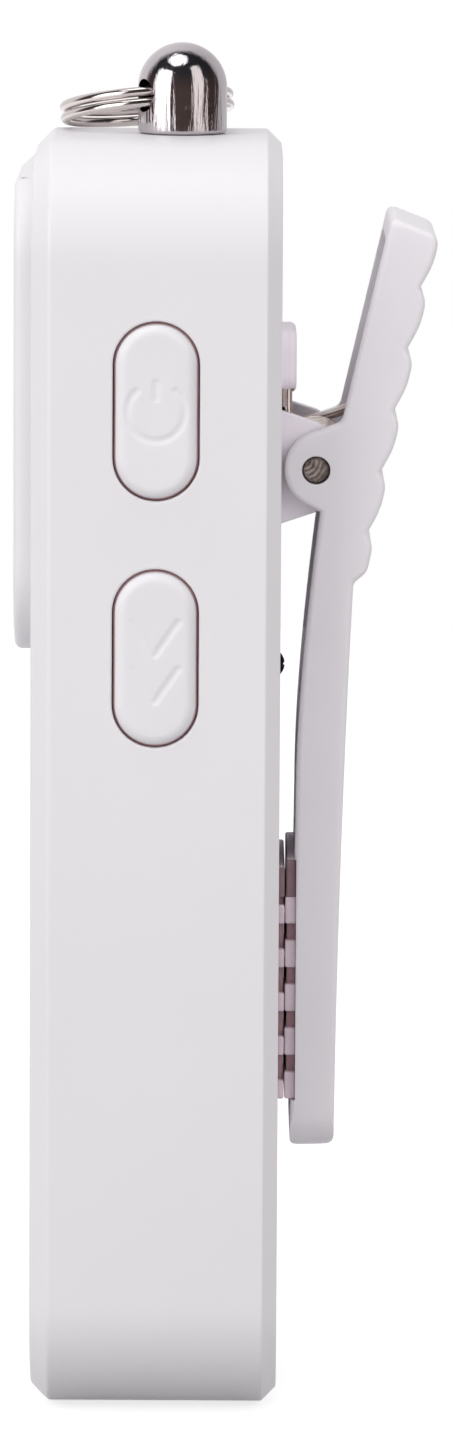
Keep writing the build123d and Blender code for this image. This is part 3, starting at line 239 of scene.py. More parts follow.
def softened(node, name, radius, material, steps=3, kept_y=None):
    """A copy of a CAD node with its triangles joined into whole faces and its edges rounded, but for
    those at depth kept_y, where it meets a neighbour without a seam."""
    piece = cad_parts[node].copy()
    piece.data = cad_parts[node].data.copy()
    piece.parent = None
    piece.name = name
    piece.data.name = name
    for key in list(piece.keys()):
        del piece[key]
    bpy.context.scene.collection.objects.link(piece)
    pick(piece)
    bpy.ops.mesh.customdata_custom_splitnormals_clear()
    bpy.ops.object.mode_set(mode="EDIT")
    bpy.ops.mesh.select_all(action="SELECT")
    bpy.ops.mesh.remove_doubles(threshold=weld_gap)
    bpy.ops.mesh.dissolve_limited(angle_limit=flat_within)
    bpy.ops.mesh.select_mode(type="EDGE")
    bpy.ops.mesh.select_all(action="DESELECT")
    bpy.ops.mesh.edges_select_sharp(sharpness=sharp_from)
    bpy.ops.object.mode_set(mode="OBJECT")
    weights = piece.data.attributes.new("bevel_weight_edge", "FLOAT", "EDGE")
    corners = piece.data.vertices
    for edge in piece.data.edges:
        on_seam = kept_y is not None and all(
            abs(corners[end].co.y - kept_y) < seam_gap for end in edge.vertices
        )
        weights.data[edge.index].value = 1.0 if edge.select and not on_seam else 0.0
    bpy.ops.object.shade_smooth_by_angle(angle=sharp_from)
    rounding = piece.modifiers.new("rounding", "BEVEL")
    rounding.width = radius
    rounding.segments = steps
    rounding.limit_method = "WEIGHT"
    rounding.use_clamp_overlap = False
    rounding.harden_normals = True
    bpy.ops.object.modifier_apply(modifier="rounding")
    piece.data.materials.clear()
    piece.data.materials.append(material)
    return piece


def stand_for(piece, node, body):
    """The piece moves with the body and is shown instead of the node."""
    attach(piece, body)
    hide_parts(node)


shell_plastic = surface(
    "shell_plastic", tone(229, 227, 230), tone(232, 230, 233), 22 * mm, (0.42, 0.5), 0.16 * mm, 0.0025 * mm
)
parting_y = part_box("main_housing")[1].y
housing = softened("main_housing", "housing", 0.22 * mm, shell_plastic, kept_y=parting_y)
stand_for(housing, "main_housing", "case")


# Back cover: the tub's lid in the same plastic, held by four screws, with a chamfered rim and a
# shallow pocket that the clip's base is let into.
cover = softened("back_cover", "cover", 0.1 * mm, shell_plastic, kept_y=parting_y)
stand_for(cover, "back_cover", "case")


# Front panel: a raised plate of the same plastic, snapped to the tub's front, with the sound slots and
# the window's frame moulded in it.
front_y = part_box("main_housing")[0].y
panel = softened("front_panel", "panel", 0.1 * mm, shell_plastic, kept_y=front_y)
stand_for(panel, "front_panel", "case")


# Light window: a block of frosted clear plastic behind its frame in the panel, which spreads the
# light of the emitters behind it.
frosted_plastic = surface(
    "frosted_plastic", tone(226, 230, 232), tone(240, 243, 244), 3 * mm, (0.4, 0.52), 0.12 * mm, 0.004 * mm
)
frosted_shader = frosted_plastic.node_tree.nodes["Principled BSDF"]
frosted_shader.inputs["Transmission Weight"].default_value = 0.45
frosted_shader.inputs["IOR"].default_value = 1.49
window = softened("light_window", "window", 0.06 * mm, frosted_plastic)
stand_for(window, "light_window", "case")


# Buttons: soft-touch keys of the same white as the case, with a shallow mark pressed into each, on skirts
# that flare out to close the gap. The skirts carry a pinkish painted tint that colours the shade in the gap
# round each key brown.
button_plastic = surface(
    "button_plastic", tone(229, 227, 230), tone(232, 230, 233), 9 * mm, (0.45, 0.55), 0.14 * mm, 0.0025 * mm
)
# Painted shade: a pinkish tone on the skirts that tints the shaded gap round the keys brown.
skirt_gap_shade_tint = surface(
    "skirt_gap_shade_tint", tone(222, 182, 182), tone(230, 190, 190), 2 * mm, (0.6, 0.75), 0.1 * mm, 0.002 * mm
)
key_radius = 3.15
key_half_run = 3.6
key_round = 0.85
key_corners = 120
key_side_cuts = 47
same_spot = 0.001
key_insets = [0.02, 0.04, 0.06, 0.08, 0.1, 0.12] + [0.13] * 20
flare_depth = 0.3
skirt_flare = 0.14
rim_reach = 0.77
rim_thickness = 0.7
pip_radius = 1.2
pip_length = 1.1
groove_half_width = 0.42
power_groove = 0.12
power_arc_radius = 2.22
power_half_opening = radians(43)
power_bar = (1.05, 2.25)
mode_groove = 0.13
mode_faint_groove = 0.055
mode_arm = Vector((1.78, 2.55))
mode_tips = (0.35, -3.3)


def edit_where(piece, kind, test):
    """Goes into edit mode with only the vertices, edges or faces selected that pass the test."""
    pick(piece)
    bpy.ops.object.mode_set(mode="EDIT")
    bpy.ops.mesh.select_mode(type=kind)
    bpy.ops.mesh.select_all(action="DESELECT")
    bpy.ops.object.mode_set(mode="OBJECT")
    parts = {"VERT": piece.data.vertices, "EDGE": piece.data.edges, "FACE": piece.data.polygons}[kind]
    for part in parts:
        part.select = test(part)
    bpy.ops.object.mode_set(mode="EDIT")


def to_stroke(spot, start, end):
    """How far a spot on the key's face is from a straight stroke."""
    run = end - start
    share = min(max((spot - start).dot(run) / run.dot(run), 0), 1)
    return (spot - start - run * share).length


def groove(distance, depth):
    """The depth of a soft-edged groove at this distance from its middle line."""
    near = min(distance / groove_half_width, 1)
    return depth * (1 - near**2) ** 2


def power_dip(spot):
    """The power mark: a circle open at its top and an upright bar."""
    bearing = abs(Vector((spot.y, spot.x)).angle_signed(Vector((1, 0)), 0))
    end_y = power_arc_radius * sin(power_half_opening)
    end_z = power_arc_radius * cos(power_half_opening)
    if bearing < power_half_opening:
        to_arc = min((spot - Vector((side * end_y, end_z))).length for side in (-1, 1))
    else:
        to_arc = abs(spot.length - power_arc_radius)
    to_bar = to_stroke(spot, Vector((0, power_bar[0])), Vector((0, power_bar[1])))
    return groove(min(to_arc, to_bar), power_groove)


def mode_dip(spot):
    """The mode mark: two chevrons pointing down, their front arms worn almost flat."""
    dips = [0]
    for tip in mode_tips:
        foot = Vector((0, tip))
        dips.append(groove(to_stroke(spot, foot, foot + mode_arm), mode_groove))
        front_arm = Vector((-mode_arm.x, mode_arm.y))
        dips.append(groove(to_stroke(spot, foot, foot + front_arm), mode_faint_groove))
    return max(dips)


def placed(piece, spot):
    """Shrinks a piece modelled in millimetres to its real size and moves it to this spot."""
    piece.scale = (mm, mm, mm)
    piece.location = spot
    pick(piece)
    bpy.ops.object.transform_apply(location=True, rotation=True, scale=True)


def build_key(name, node, body, dip):
    """An obround key: its face in rings inset from the rim, domed at the edge and dipped at the mark,
    then its skirt, the retaining rim inside the case and the pip that presses the switch."""
    low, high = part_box(node)
    middle = (low + high) / 2
    key_depth = (high.x - low.x) / mm
    bpy.ops.object.select_all(action="DESELECT")
    bpy.ops.mesh.primitive_circle_add(
        vertices=key_corners, radius=key_radius, fill_type="NGON", rotation=(0, pi / 2, 0)
    )
    key = bpy.context.object
    key.name = name
    bpy.ops.object.transform_apply(location=True, rotation=True, scale=True)
    for side in (-1, 1):
        edit_where(key, "VERT", lambda vertex: side * vertex.co.z > same_spot)
        bpy.ops.transform.translate(value=(0, 0, side * key_half_run))
        bpy.ops.object.mode_set(mode="OBJECT")
    corners = key.data.vertices
    edit_where(
        key, "EDGE",
        lambda edge: (corners[edge.vertices[0]].co - corners[edge.vertices[1]].co).length > key_half_run,
    )
    bpy.ops.mesh.subdivide(number_cuts=key_side_cuts)
    bpy.ops.object.mode_set(mode="OBJECT")
    edit_where(key, "FACE", lambda face: True)
    reach = key_radius
    for step in key_insets:
        shrink = (reach - step) / reach
        reach -= step
        bpy.ops.mesh.extrude_region_move()
        bpy.ops.object.mode_set(mode="OBJECT")
        for vertex in key.data.vertices:
            if vertex.select:
                turn_z = min(max(vertex.co.z, -key_half_run), key_half_run)
                vertex.co.yz = (vertex.co.y * shrink, turn_z + (vertex.co.z - turn_z) * shrink)
        bpy.ops.object.mode_set(mode="EDIT")
    bpy.ops.mesh.extrude_region_move()
    bpy.ops.transform.resize(value=(1, 0, 1))
    bpy.ops.mesh.delete(type="ONLY_FACE")
    bpy.ops.mesh.select_all(action="SELECT")
    bpy.ops.mesh.remove_doubles(threshold=same_spot)
    bpy.ops.object.mode_set(mode="OBJECT")
    foot, head = Vector((0, -key_half_run)), Vector((0, key_half_run))
    for vertex in key.data.vertices:
        spot = vertex.co.yz
        into_round = max(to_stroke(spot, foot, head) - (key_radius - key_round), 0)
        fall = key_round - sqrt(max(key_round**2 - into_round**2, 0))
        vertex.co.x = -fall - dip(spot)
    corners = key.data.vertices
    edit_where(
        key, "EDGE",
        lambda edge: all(
            to_stroke(corners[end].co.yz, foot, head) > key_radius - 0.005 for end in edge.vertices
        ),
    )
    half_height = key_radius + key_half_run
    bpy.ops.mesh.extrude_region_move(TRANSFORM_OT_translate={"value": (-flare_depth, 0, 0)})
    bpy.ops.transform.resize(value=(1, 1 + skirt_flare / key_radius, 1 + skirt_flare / half_height))
    skirt_foot = pip_length + rim_thickness - key_depth
    skirt_run = skirt_foot + key_round + flare_depth
    bpy.ops.mesh.extrude_region_move(TRANSFORM_OT_translate={"value": (skirt_run, 0, 0)})
    bpy.ops.mesh.extrude_region_move()
    wider = (key_radius + rim_reach) / (key_radius + skirt_flare)
    taller = (half_height + rim_reach) / (half_height + skirt_flare)
    bpy.ops.transform.resize(value=(1, wider, taller))
    bpy.ops.mesh.extrude_region_move(TRANSFORM_OT_translate={"value": (-rim_thickness, 0, 0)})
    bpy.ops.mesh.edge_face_add()
    bpy.ops.mesh.select_all(action="SELECT")
    bpy.ops.mesh.normals_make_consistent(inside=False)
    bpy.ops.object.mode_set(mode="OBJECT")
    bpy.ops.object.select_all(action="DESELECT")
    pip_run = pip_length + rim_thickness / 2
    bpy.ops.mesh.primitive_cylinder_add(
        vertices=48, radius=pip_radius, depth=pip_run, location=(pip_run / 2 - key_depth, 0, 0),
        rotation=(0, pi / 2, 0),
    )
    key.select_set(True)
    bpy.context.view_layer.objects.active = key
    bpy.ops.object.join()
    key.data.materials.append(button_plastic)
    key.data.materials.append(skirt_gap_shade_tint)
    # Faces below the key's round get the painted gap-shade tint.
    for face in key.data.polygons:
        face.material_index = 1 if face.center.x < -key_round - 0.01 else 0
    placed(key, (high.x, middle.y, middle.z))
    bpy.ops.object.shade_smooth_by_angle(angle=radians(30))
    stand_for(key, node, body)


build_key("power_key", "power_button", "power_press_body", power_dip)
build_key("mode_key", "mode_button", "mode_press_body", mode_dip)


# Pull pin: a turned brass head with a domed top and a cross hole, plated with bright chrome that is
# streaked by its polishing, more so towards its foot.
def over_grain(tree, **named):
    """Lays a second bump over the fine grain of a surface."""
    relief = put(tree, "Bump", Normal=tree.nodes["Bump"].outputs["Normal"], **named)
    tree.links.new(relief.outputs["Normal"], tree.nodes["Principled BSDF"].inputs["Normal"])


chrome = surface(
    "chrome", tone(200, 194, 197), tone(206, 200, 203), 6 * mm, (0.08, 0.13), 0.3 * mm, 0.0004 * mm, 1.0
)
chrome_tree = chrome.node_tree
on_pin = put(chrome_tree, "TexCoord").outputs["Object"]
drawn_out = put(chrome_tree, "VectorMath", {"operation": "MULTIPLY"}, (on_pin, (1, 1, 0.07)))
streaks = put(
    chrome_tree, "TexNoise", Vector=drawn_out.outputs["Vector"], Scale=1 / (0.4 * mm), Detail=4.0
)
wear = put(
    chrome_tree, "MapRange", Value=put(chrome_tree, "SeparateXYZ", Vector=on_pin).outputs["Z"],
    From_Min=100 * mm, From_Max=105 * mm, To_Min=0.9, To_Max=0.2,
)
over_grain(
    chrome_tree, Height=streaks.outputs["Fac"], Distance=0.13 * mm, Strength=wear.outputs["Result"]
)
pin_axis = Vector((0, 1.84, 0)) * mm
cap_low, cap_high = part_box("pull_pin_cap")
cap_radius = (cap_high.x - cap_low.x) / 2
cap_shoulder = cap_high.z - cap_radius
plug_hole = 1.72 * mm
plug_seat = 1.55 * mm
cap_foot_round = 0.3 * mm
cross_hole = 1.3 * mm
cross_rise = 103.05 * mm
ring_heading = radians(61.5)
near_enough = 0.001 * mm


def cut_with(piece, cutter):
    """Cuts the cutter's shape out of the piece and throws the cutter away."""
    pick(piece)
    cut = piece.modifiers.new("cut", "BOOLEAN")
    cut.operation = "DIFFERENCE"
    cut.solver = "MANIFOLD"
    cut.object = cutter
    bpy.ops.object.modifier_apply(modifier="cut")
    bpy.data.objects.remove(cutter)


def shade_cut(piece, angle, material):
    """Shades a cut piece smooth below this angle, its large faces flat, and gives it its material."""
    bpy.ops.object.shade_smooth_by_angle(angle=angle)
    piece.modifiers.new("even_normals", "WEIGHTED_NORMAL").keep_sharp = True
    bpy.ops.object.modifier_apply(modifier="even_normals")
    piece.data.materials.clear()
    piece.data.materials.append(material)


bpy.ops.mesh.primitive_uv_sphere_add(
    segments=128, ring_count=64, radius=cap_radius, location=(0, pin_axis.y, cap_shoulder)
)
cap = bpy.context.object
cap.name = "pin_head"
bpy.ops.object.transform_apply(location=True, rotation=True, scale=True)
edit_where(cap, "VERT", lambda vertex: vertex.co.z < cap_shoulder - near_enough)
bpy.ops.mesh.delete(type="VERT")
bpy.ops.object.mode_set(mode="OBJECT")
edit_where(cap, "VERT", lambda vertex: abs(vertex.co.z - cap_shoulder) < near_enough)
bpy.ops.mesh.extrude_region_move(TRANSFORM_OT_translate={"value": (0, 0, cap_low.z - cap_shoulder)})
bpy.ops.mesh.edge_face_add()
bpy.ops.object.mode_set(mode="OBJECT")
edit_where(cap, "FACE", lambda face: face.normal.z < -0.9)
bpy.ops.mesh.inset(thickness=cap_radius - plug_hole)
bpy.ops.mesh.extrude_region_move(TRANSFORM_OT_translate={"value": (0, 0, plug_seat)})
bpy.ops.object.mode_set(mode="OBJECT")


def on_foot_rim(edge):
    """Whether an edge of the head lies on the outer rim of its foot."""
    ends = [cap.data.vertices[index].co for index in edge.vertices]
    return all(
        abs(end.z - cap_low.z) < near_enough and hypot(end.x, end.y - pin_axis.y) > 0.99 * cap_radius
        for end in ends
    )


edit_where(cap, "EDGE", on_foot_rim)
bpy.ops.mesh.bevel(offset=cap_foot_round, segments=5)
bpy.ops.object.mode_set(mode="OBJECT")
bpy.ops.mesh.primitive_cylinder_add(
    vertices=64, radius=cross_hole, depth=4 * cap_radius, location=(0, pin_axis.y, cross_rise),
    rotation=(pi / 2, 0, pi / 2 - ring_heading),
)
cut_with(cap, bpy.context.object)
shade_cut(cap, radians(35), chrome)
stand_for(cap, "pull_pin_cap", "pull_pin")


# Split ring: round steel wire wound into two turns, with one step where it crosses from the upper
# turn to the lower, and plated like the pin's head.
def wire_along(name, points, radius, material):
    """A round wire along these points, as a closed mesh."""
    line_data = bpy.data.curves.new(name, "CURVE")
    line_data.dimensions = "3D"
    line_data.bevel_depth = radius
    line_data.bevel_resolution = 6
    line_data.use_fill_caps = True
    line_data.resolution_u = 4
    spline = line_data.splines.new("NURBS")
    spline.points.add(len(points) - 1)
    for spot, point in zip(spline.points, points):
        spot.co = (*point, 1)
    spline.order_u = 4
    spline.use_endpoint_u = True
    line = bpy.data.objects.new(name, line_data)
    bpy.context.scene.collection.objects.link(line)
    pick(line)
    bpy.ops.object.convert(target="MESH")
    piece = bpy.context.object
    bpy.ops.object.mode_set(mode="EDIT")
    bpy.ops.mesh.select_all(action="SELECT")
    bpy.ops.mesh.remove_doubles(threshold=near_enough)
    bpy.ops.mesh.normals_make_consistent(inside=False)
    bpy.ops.object.mode_set(mode="OBJECT")
    bpy.ops.object.shade_smooth_by_angle(angle=radians(50))
    piece.data.materials.append(material)
    return piece


ring_nickel = surface(
    "ring_nickel", tone(210, 202, 199), tone(216, 208, 205), 6 * mm, (0.11, 0.17), 0.3 * mm, 0.0012 * mm, 1.0
)
ring_wire = 0.8 * mm
ring_radius = 6.52 * mm
ring_level = 0.44 * mm
ring_droop = radians(10.8)
ring_start, ring_end = 320, 995
crossing_start, crossing_run = 635, 40
ring_way = Vector((cos(ring_heading), -sin(ring_heading), 0))
ring_out = Vector(
    (-sin(ring_heading) * cos(ring_droop), -cos(ring_heading) * cos(ring_droop), -sin(ring_droop))
)
ring_up = ring_out.cross(ring_way)
ring_bow = cap_radius**2 / (4 * ring_radius)
ring_hole_point = Vector((0, pin_axis.y, cross_rise - 0.08 * mm))
ring_centre = ring_hole_point + ring_out * (ring_radius - ring_bow)
ring_points = []
for angle in range(ring_start, ring_end, 5):
    turn = radians(angle)
    crossing = min(max((angle - crossing_start) / crossing_run, 0), 1)
    level = ring_level * cos(pi * crossing)
    spoke = ring_out * cos(turn) + ring_way * sin(turn)
    ring_points.append(ring_centre + spoke * ring_radius + ring_up * level)
ring = wire_along("key_ring_wire", ring_points, ring_wire / 2, ring_nickel)
stand_for(ring, "split_ring", "key_ring")


# Clip bracket: a moulded base let into the cover, with two ears for the hinge pin and, above them, a
# rounded retainer for one leg of the spring.
# Painted light: the bracket's white is lighter than the case's, to make up for the shade it sits in between
# case and lever.
bracket_plastic_painted_light = surface(
    "bracket_plastic_painted_light", tone(246, 239, 246), tone(250, 243, 250), 12 * mm, (0.42, 0.52), 0.16 * mm, 0.003 * mm
)
bracket = softened("clip_bracket", "bracket", 0.12 * mm, bracket_plastic_painted_light)
stand_for(bracket, "clip_bracket", "case")


# Clip lever: one moulding of slightly translucent plastic, its handle scalloped for the fingers and
# hollowed round the spring, with a hole for the hinge pin through its ears and a seat for its jaw pad.
clip_plastic = surface(
    "clip_plastic", tone(231, 228, 232), tone(234, 231, 235), 12 * mm, (0.42, 0.52), 0.16 * mm, 0.003 * mm
)
clip_shader = clip_plastic.node_tree.nodes["Principled BSDF"]
clip_shader.inputs["Subsurface Weight"].default_value = 0.3
clip_shader.inputs["Subsurface Radius"].default_value = (1.0, 0.95, 0.95)
clip_shader.inputs["Subsurface Scale"].default_value = 1.2 * mm
hinge = Vector((0, 12.46, 74.2)) * mm
lever_low, lever_high = ((corner - hinge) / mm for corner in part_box("clip_lever"))
clip_half = lever_high.x
handle_rise = lever_high.z - 0.5
arm_drop = lever_low.z
ear_wall = 1.65
ear_radius = 3.03
ear_middle = Vector((0.55, 0))
ear_hole = 1.115
grip_offset = 5.7
grip_slope = 0.208
grip_depth = 0.65
grip_skin = 1.35
scallop_count = 5
scallop_pitch = 4.82
scallop_first = 14.32
lever_round = 0.45
handle_corner = 0.9
arm_corner = 3.2
corner_cut_half = 15
nose_steps = 24
corner_steps = 12


def grip(rise, inset=0.0):
    """A point of the handle's outer line, this far above the hinge and this far inside the line."""
    return Vector((grip_offset + grip_slope * rise - inset, rise))


def eased(corners):
    """The corners' outline with each corner turned into a soft bend that starts this far from it."""
    outline = []
    for number, (corner, reach) in enumerate(corners):
        before = (corners[number - 1][0] - corner).normalized() * reach
        after = (corners[(number + 1) % len(corners)][0] - corner).normalized() * reach
        steps = 1 if reach == 0 else 7
        for step in range(steps):
            share = step / max(steps - 1, 1)
            outline.append(corner + before * (1 - share) ** 2 + after * share**2)
    return outline


def bow(start, middle, end, steps):
    """Points of a shallow curve from start to end through the middle, without its two ends."""
    pull = middle * 2 - (start + end) / 2
    shares = [step / steps for step in range(1, steps)]
    return [start * (1 - s) ** 2 + pull * 2 * s * (1 - s) + end * s**2 for s in shares]


def nose_angle(point, side):
    """Where a line from the point touches the ear's round nose, as an angle about its middle."""
    way = point - ear_middle
    return way.angle_signed(Vector((1, 0))) + side * acos(ear_radius / way.length)


def prism(name, outline, half_width):
    """A plate with this outline in the plane of Y and Z about the origin, from -X to +X."""
    bpy.ops.object.select_all(action="DESELECT")
    bpy.ops.mesh.primitive_circle_add(vertices=len(outline), fill_type="NGON")
    plate = bpy.context.object
    plate.name = name
    for vertex, point in zip(plate.data.vertices, outline):
        vertex.co = (half_width, point.x, point.y)
    bpy.ops.object.mode_set(mode="EDIT")
    bpy.ops.mesh.select_all(action="SELECT")
    bpy.ops.mesh.extrude_region_move(TRANSFORM_OT_translate={"value": (-2 * half_width, 0, 0)})
    bpy.ops.mesh.select_all(action="SELECT")
    bpy.ops.mesh.normals_make_consistent(inside=False)
    bpy.ops.object.mode_set(mode="OBJECT")
    return plate


handle_root = Vector((2.0, 3.72))
arm_root = Vector((0.35, -3.3))
arm_knee = Vector((-1.44, -26.2))
arm_outer_root = Vector((2.97, -8.9))
arm_tip_outer = Vector((1.72, arm_drop + 0.25))
corners = [(Vector((5.74, handle_rise)), 0.72), (grip(handle_rise - 1.45), 0.95)]
for number in range(scallop_count):
    notch = scallop_first - number * scallop_pitch
    corners.append((grip(notch + 1.9), 0.9))
    corners.append((grip(notch, grip_depth), 0.12))
    corners.append((grip(notch - 1.05, -0.03), 0.6))
corners += [(grip(-8.0), 0.5), (arm_outer_root, 0.3)]
corners += [(spot, 0) for spot in bow(arm_outer_root, Vector((2.13, -31.2)), arm_tip_outer, 14)]
corners += [(arm_tip_outer, 0.9), (Vector((-1.78, arm_drop)), 0.9), (arm_knee, 0)]
corners += [(spot, 0) for spot in bow(arm_knee, Vector((-1.01, -16.2)), arm_root, 14)]
corners.append((arm_root, 0))
nose_from = nose_angle(arm_root, -1)
nose_to = nose_angle(handle_root, 1) - 2 * pi
for step in range(nose_steps + 1):
    angle = nose_from + (nose_to - nose_from) * step / nose_steps
    corners.append((ear_middle + Vector((cos(angle), sin(angle))) * ear_radius, 0))
corners.append((handle_root, 0.5))
lever = prism("lever_arm", eased(corners), clip_half)
ends = lever.data.vertices
edit_where(lever, "EDGE", lambda edge: ends[edge.vertices[0]].co.x == ends[edge.vertices[1]].co.x)
bpy.ops.mesh.bevel(offset=lever_round, segments=5, clamp_overlap=False)
bpy.ops.object.mode_set(mode="OBJECT")
case_side = -4
channel_foot = -14.0
channel_top = handle_rise - 1.8
channel = [
    Vector((case_side, channel_foot)), Vector((1.35, channel_foot)), Vector((1.75, -9.0)),
    grip(-5.0, grip_depth + grip_skin), grip(channel_top, grip_depth + grip_skin),
    Vector((case_side, channel_top)),
]
cut_with(lever, prism("channel", channel, clip_half - ear_wall))
pad_low, pad_high = ((corner - hinge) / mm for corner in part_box("arm_jaw_pad"))
seat = [
    Vector((case_side, pad_low.z)), Vector((pad_high.y, pad_low.z)), Vector((pad_high.y, pad_high.z)),
    Vector((case_side, pad_high.z)),
]
cut_with(lever, prism("seat", seat, 2 * clip_half))
bpy.ops.object.select_all(action="DESELECT")
bpy.ops.mesh.primitive_cylinder_add(
    vertices=64, radius=ear_hole, depth=3 * clip_half, rotation=(0, pi / 2, 0)
)
cut_with(lever, bpy.context.object)
for side_x, side_z, quarter in ((1, 1, 1), (1, -1, 0), (-1, -1, -1), (-1, 1, -2)):
    end_z, reach = (handle_rise, handle_corner) if side_z > 0 else (arm_drop, arm_corner)
    middle = Vector((side_x * (clip_half - reach), end_z - side_z * reach))
    spokes = []
    for step in range(corner_steps + 1):
        angle = pi / 2 * (quarter - step / corner_steps)
        spokes.append(Vector((cos(angle), sin(angle))))
    outline = [middle + spoke * reach for spoke in spokes]
    for spoke in (spokes[-1], spokes[0] + spokes[-1], spokes[0]):
        outline.append(middle + spoke * (reach + 1))
    corner = prism("corner", outline, corner_cut_half)
    corner.rotation_euler.z = -pi / 2
    cut_with(lever, corner)
placed(lever, hinge)
shade_cut(lever, radians(32), clip_plastic)
stand_for(lever, "clip_lever", "lever")


# Hinge pin: a length of steel rod cut off and pressed in, its end showing in the lever's ear with the
# curved marks of the saw.
pin_steel = surface(
    "pin_steel", tone(112, 100, 92), tone(168, 158, 152), 0.5 * mm, (0.32, 0.55), 0.09 * mm, 0.02 * mm, 1.0
)
steel_tree = pin_steel.node_tree
on_rod = put(steel_tree, "TexCoord").outputs["Object"]
saw_centre = hinge + Vector((0, -0.9, 0.7)) * mm
off_centre = put(steel_tree, "VectorMath", {"operation": "SUBTRACT"}, (on_rod, saw_centre))
saw_marks = put(
    steel_tree, "TexWave", {"wave_type": "RINGS", "rings_direction": "X"},
    Vector=off_centre.outputs["Vector"], Scale=900.0, Distortion=2.5, Detail=3.0,
)
over_grain(steel_tree, Height=saw_marks.outputs["Fac"], Distance=0.05 * mm)
hinge_rod = softened("hinge_pin", "hinge_rod", 0.1 * mm, pin_steel)
stand_for(hinge_rod, "hinge_pin", "case")


# Clip spring: bright steel wire wound almost seven turns round the pin. One leg is tucked under the
# bracket's retainer and the other presses on the inside of the lever's handle.
spring_wire = 0.82 * mm
spring_radius = 2.85 * mm
spring_lean = radians(13)
spring_turns = 7 - 2 * spring_lean / (2 * pi)
spring_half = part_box("clip_spring")[1].x - spring_wire / 2
spring_pitch = 2 * spring_half / spring_turns
handle_gap = 0.15 * mm
case_back_y = 9.7 * mm
case_gap = 0.06 * mm
tip_gap = 0.02 * mm
free_leg = 5.0 * mm
leg_inset = (grip_depth + grip_skin) * mm + (spring_wire / 2 + handle_gap) * sqrt(1 + grip_slope**2)
leg_y = case_back_y + spring_wire / 2 + case_gap
coil_steps = int(spring_turns * 24)
spring_coil = []
for step in range(coil_steps + 1):
    turns = spring_turns * step / coil_steps
    angle = pi / 2 + spring_lean + 2 * pi * turns
    spring_coil.append(
        hinge
        + Vector((spring_pitch * turns - spring_half, spring_radius * cos(angle), spring_radius * sin(angle)))
    )
free_run = (
    hinge.y + grip_offset * mm - leg_inset + grip_slope * (spring_coil[0].z - hinge.z) - spring_coil[0].y
) / (1 - grip_slope * tan(spring_lean))
free_bend = spring_coil[0] + Vector((0, free_run, free_run * tan(spring_lean)))
free_tip = free_bend + Vector((0, grip_slope, 1)).normalized() * free_leg
fixed_run = spring_coil[-1].y - leg_y
fixed_bend = spring_coil[-1] + Vector((0, -fixed_run, fixed_run * tan(spring_lean)))
fixed_tip = Vector((spring_coil[-1].x, leg_y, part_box("clip_spring")[1].z - tip_gap))
spring_steel = surface(
    "spring_steel", tone(212, 198, 188), tone(242, 233, 226), 1.2 * mm, (0.1, 0.18), 0.08 * mm,
    0.002 * mm, 1.0,
)
spring_points = [free_tip, free_bend.lerp(free_tip, 0.2), free_bend.lerp(spring_coil[0], 0.25)]
spring_points += spring_coil
spring_points += [fixed_bend.lerp(spring_coil[-1], share) for share in (0.5, 0.15)]
spring_points += [fixed_bend.lerp(fixed_tip, share) for share in (0.08, 0.3, 0.6, 1.0)]
spring = wire_along("spring_coil", spring_points, spring_wire / 2, spring_steel)
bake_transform(spring)
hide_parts("clip_spring")


# Jaw pads: two strips of soft mauve rubber that face each other, each a backing under a plain head, with five
# ridges moulded across it and proud of its sides. The rubber comes in three tones: backing and head darker
# with painted shade of the grooves and the gap, ridges and the top faces of backing and head paler with
# painted light.
def pad_rubber(name, dark, light):
    """One tone of the pads' rubber; the tones differ only in colour, as painted shade and painted light."""
    return surface(name, dark, light, 1.5 * mm, (0.62, 0.75), 0.1 * mm, 0.012 * mm)


# Painted shade in the head and backing tones, painted light in the ridge tone.
head_rubber_painted_shade = pad_rubber("head_rubber_painted_shade", tone(128, 104, 110), tone(140, 116, 122))
backing_rubber_painted_shade = pad_rubber("backing_rubber_painted_shade", tone(164, 131, 137), tone(180, 146, 152))
ridge_rubber_painted_light = pad_rubber("ridge_rubber_painted_light", tone(212, 195, 204), tone(226, 209, 218))
backing_half = 6.8
backing_drop = 0.06
ridge_reach = {1: 0.0, -1: 0.07}
backing_end = 0.1
pad_head = 3.05
ridge_count = 5
ridge_first = 4.05
ridge_pitch = 3.5
ridge_round = 0.16
pad_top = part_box("arm_jaw_pad")[1].z / mm


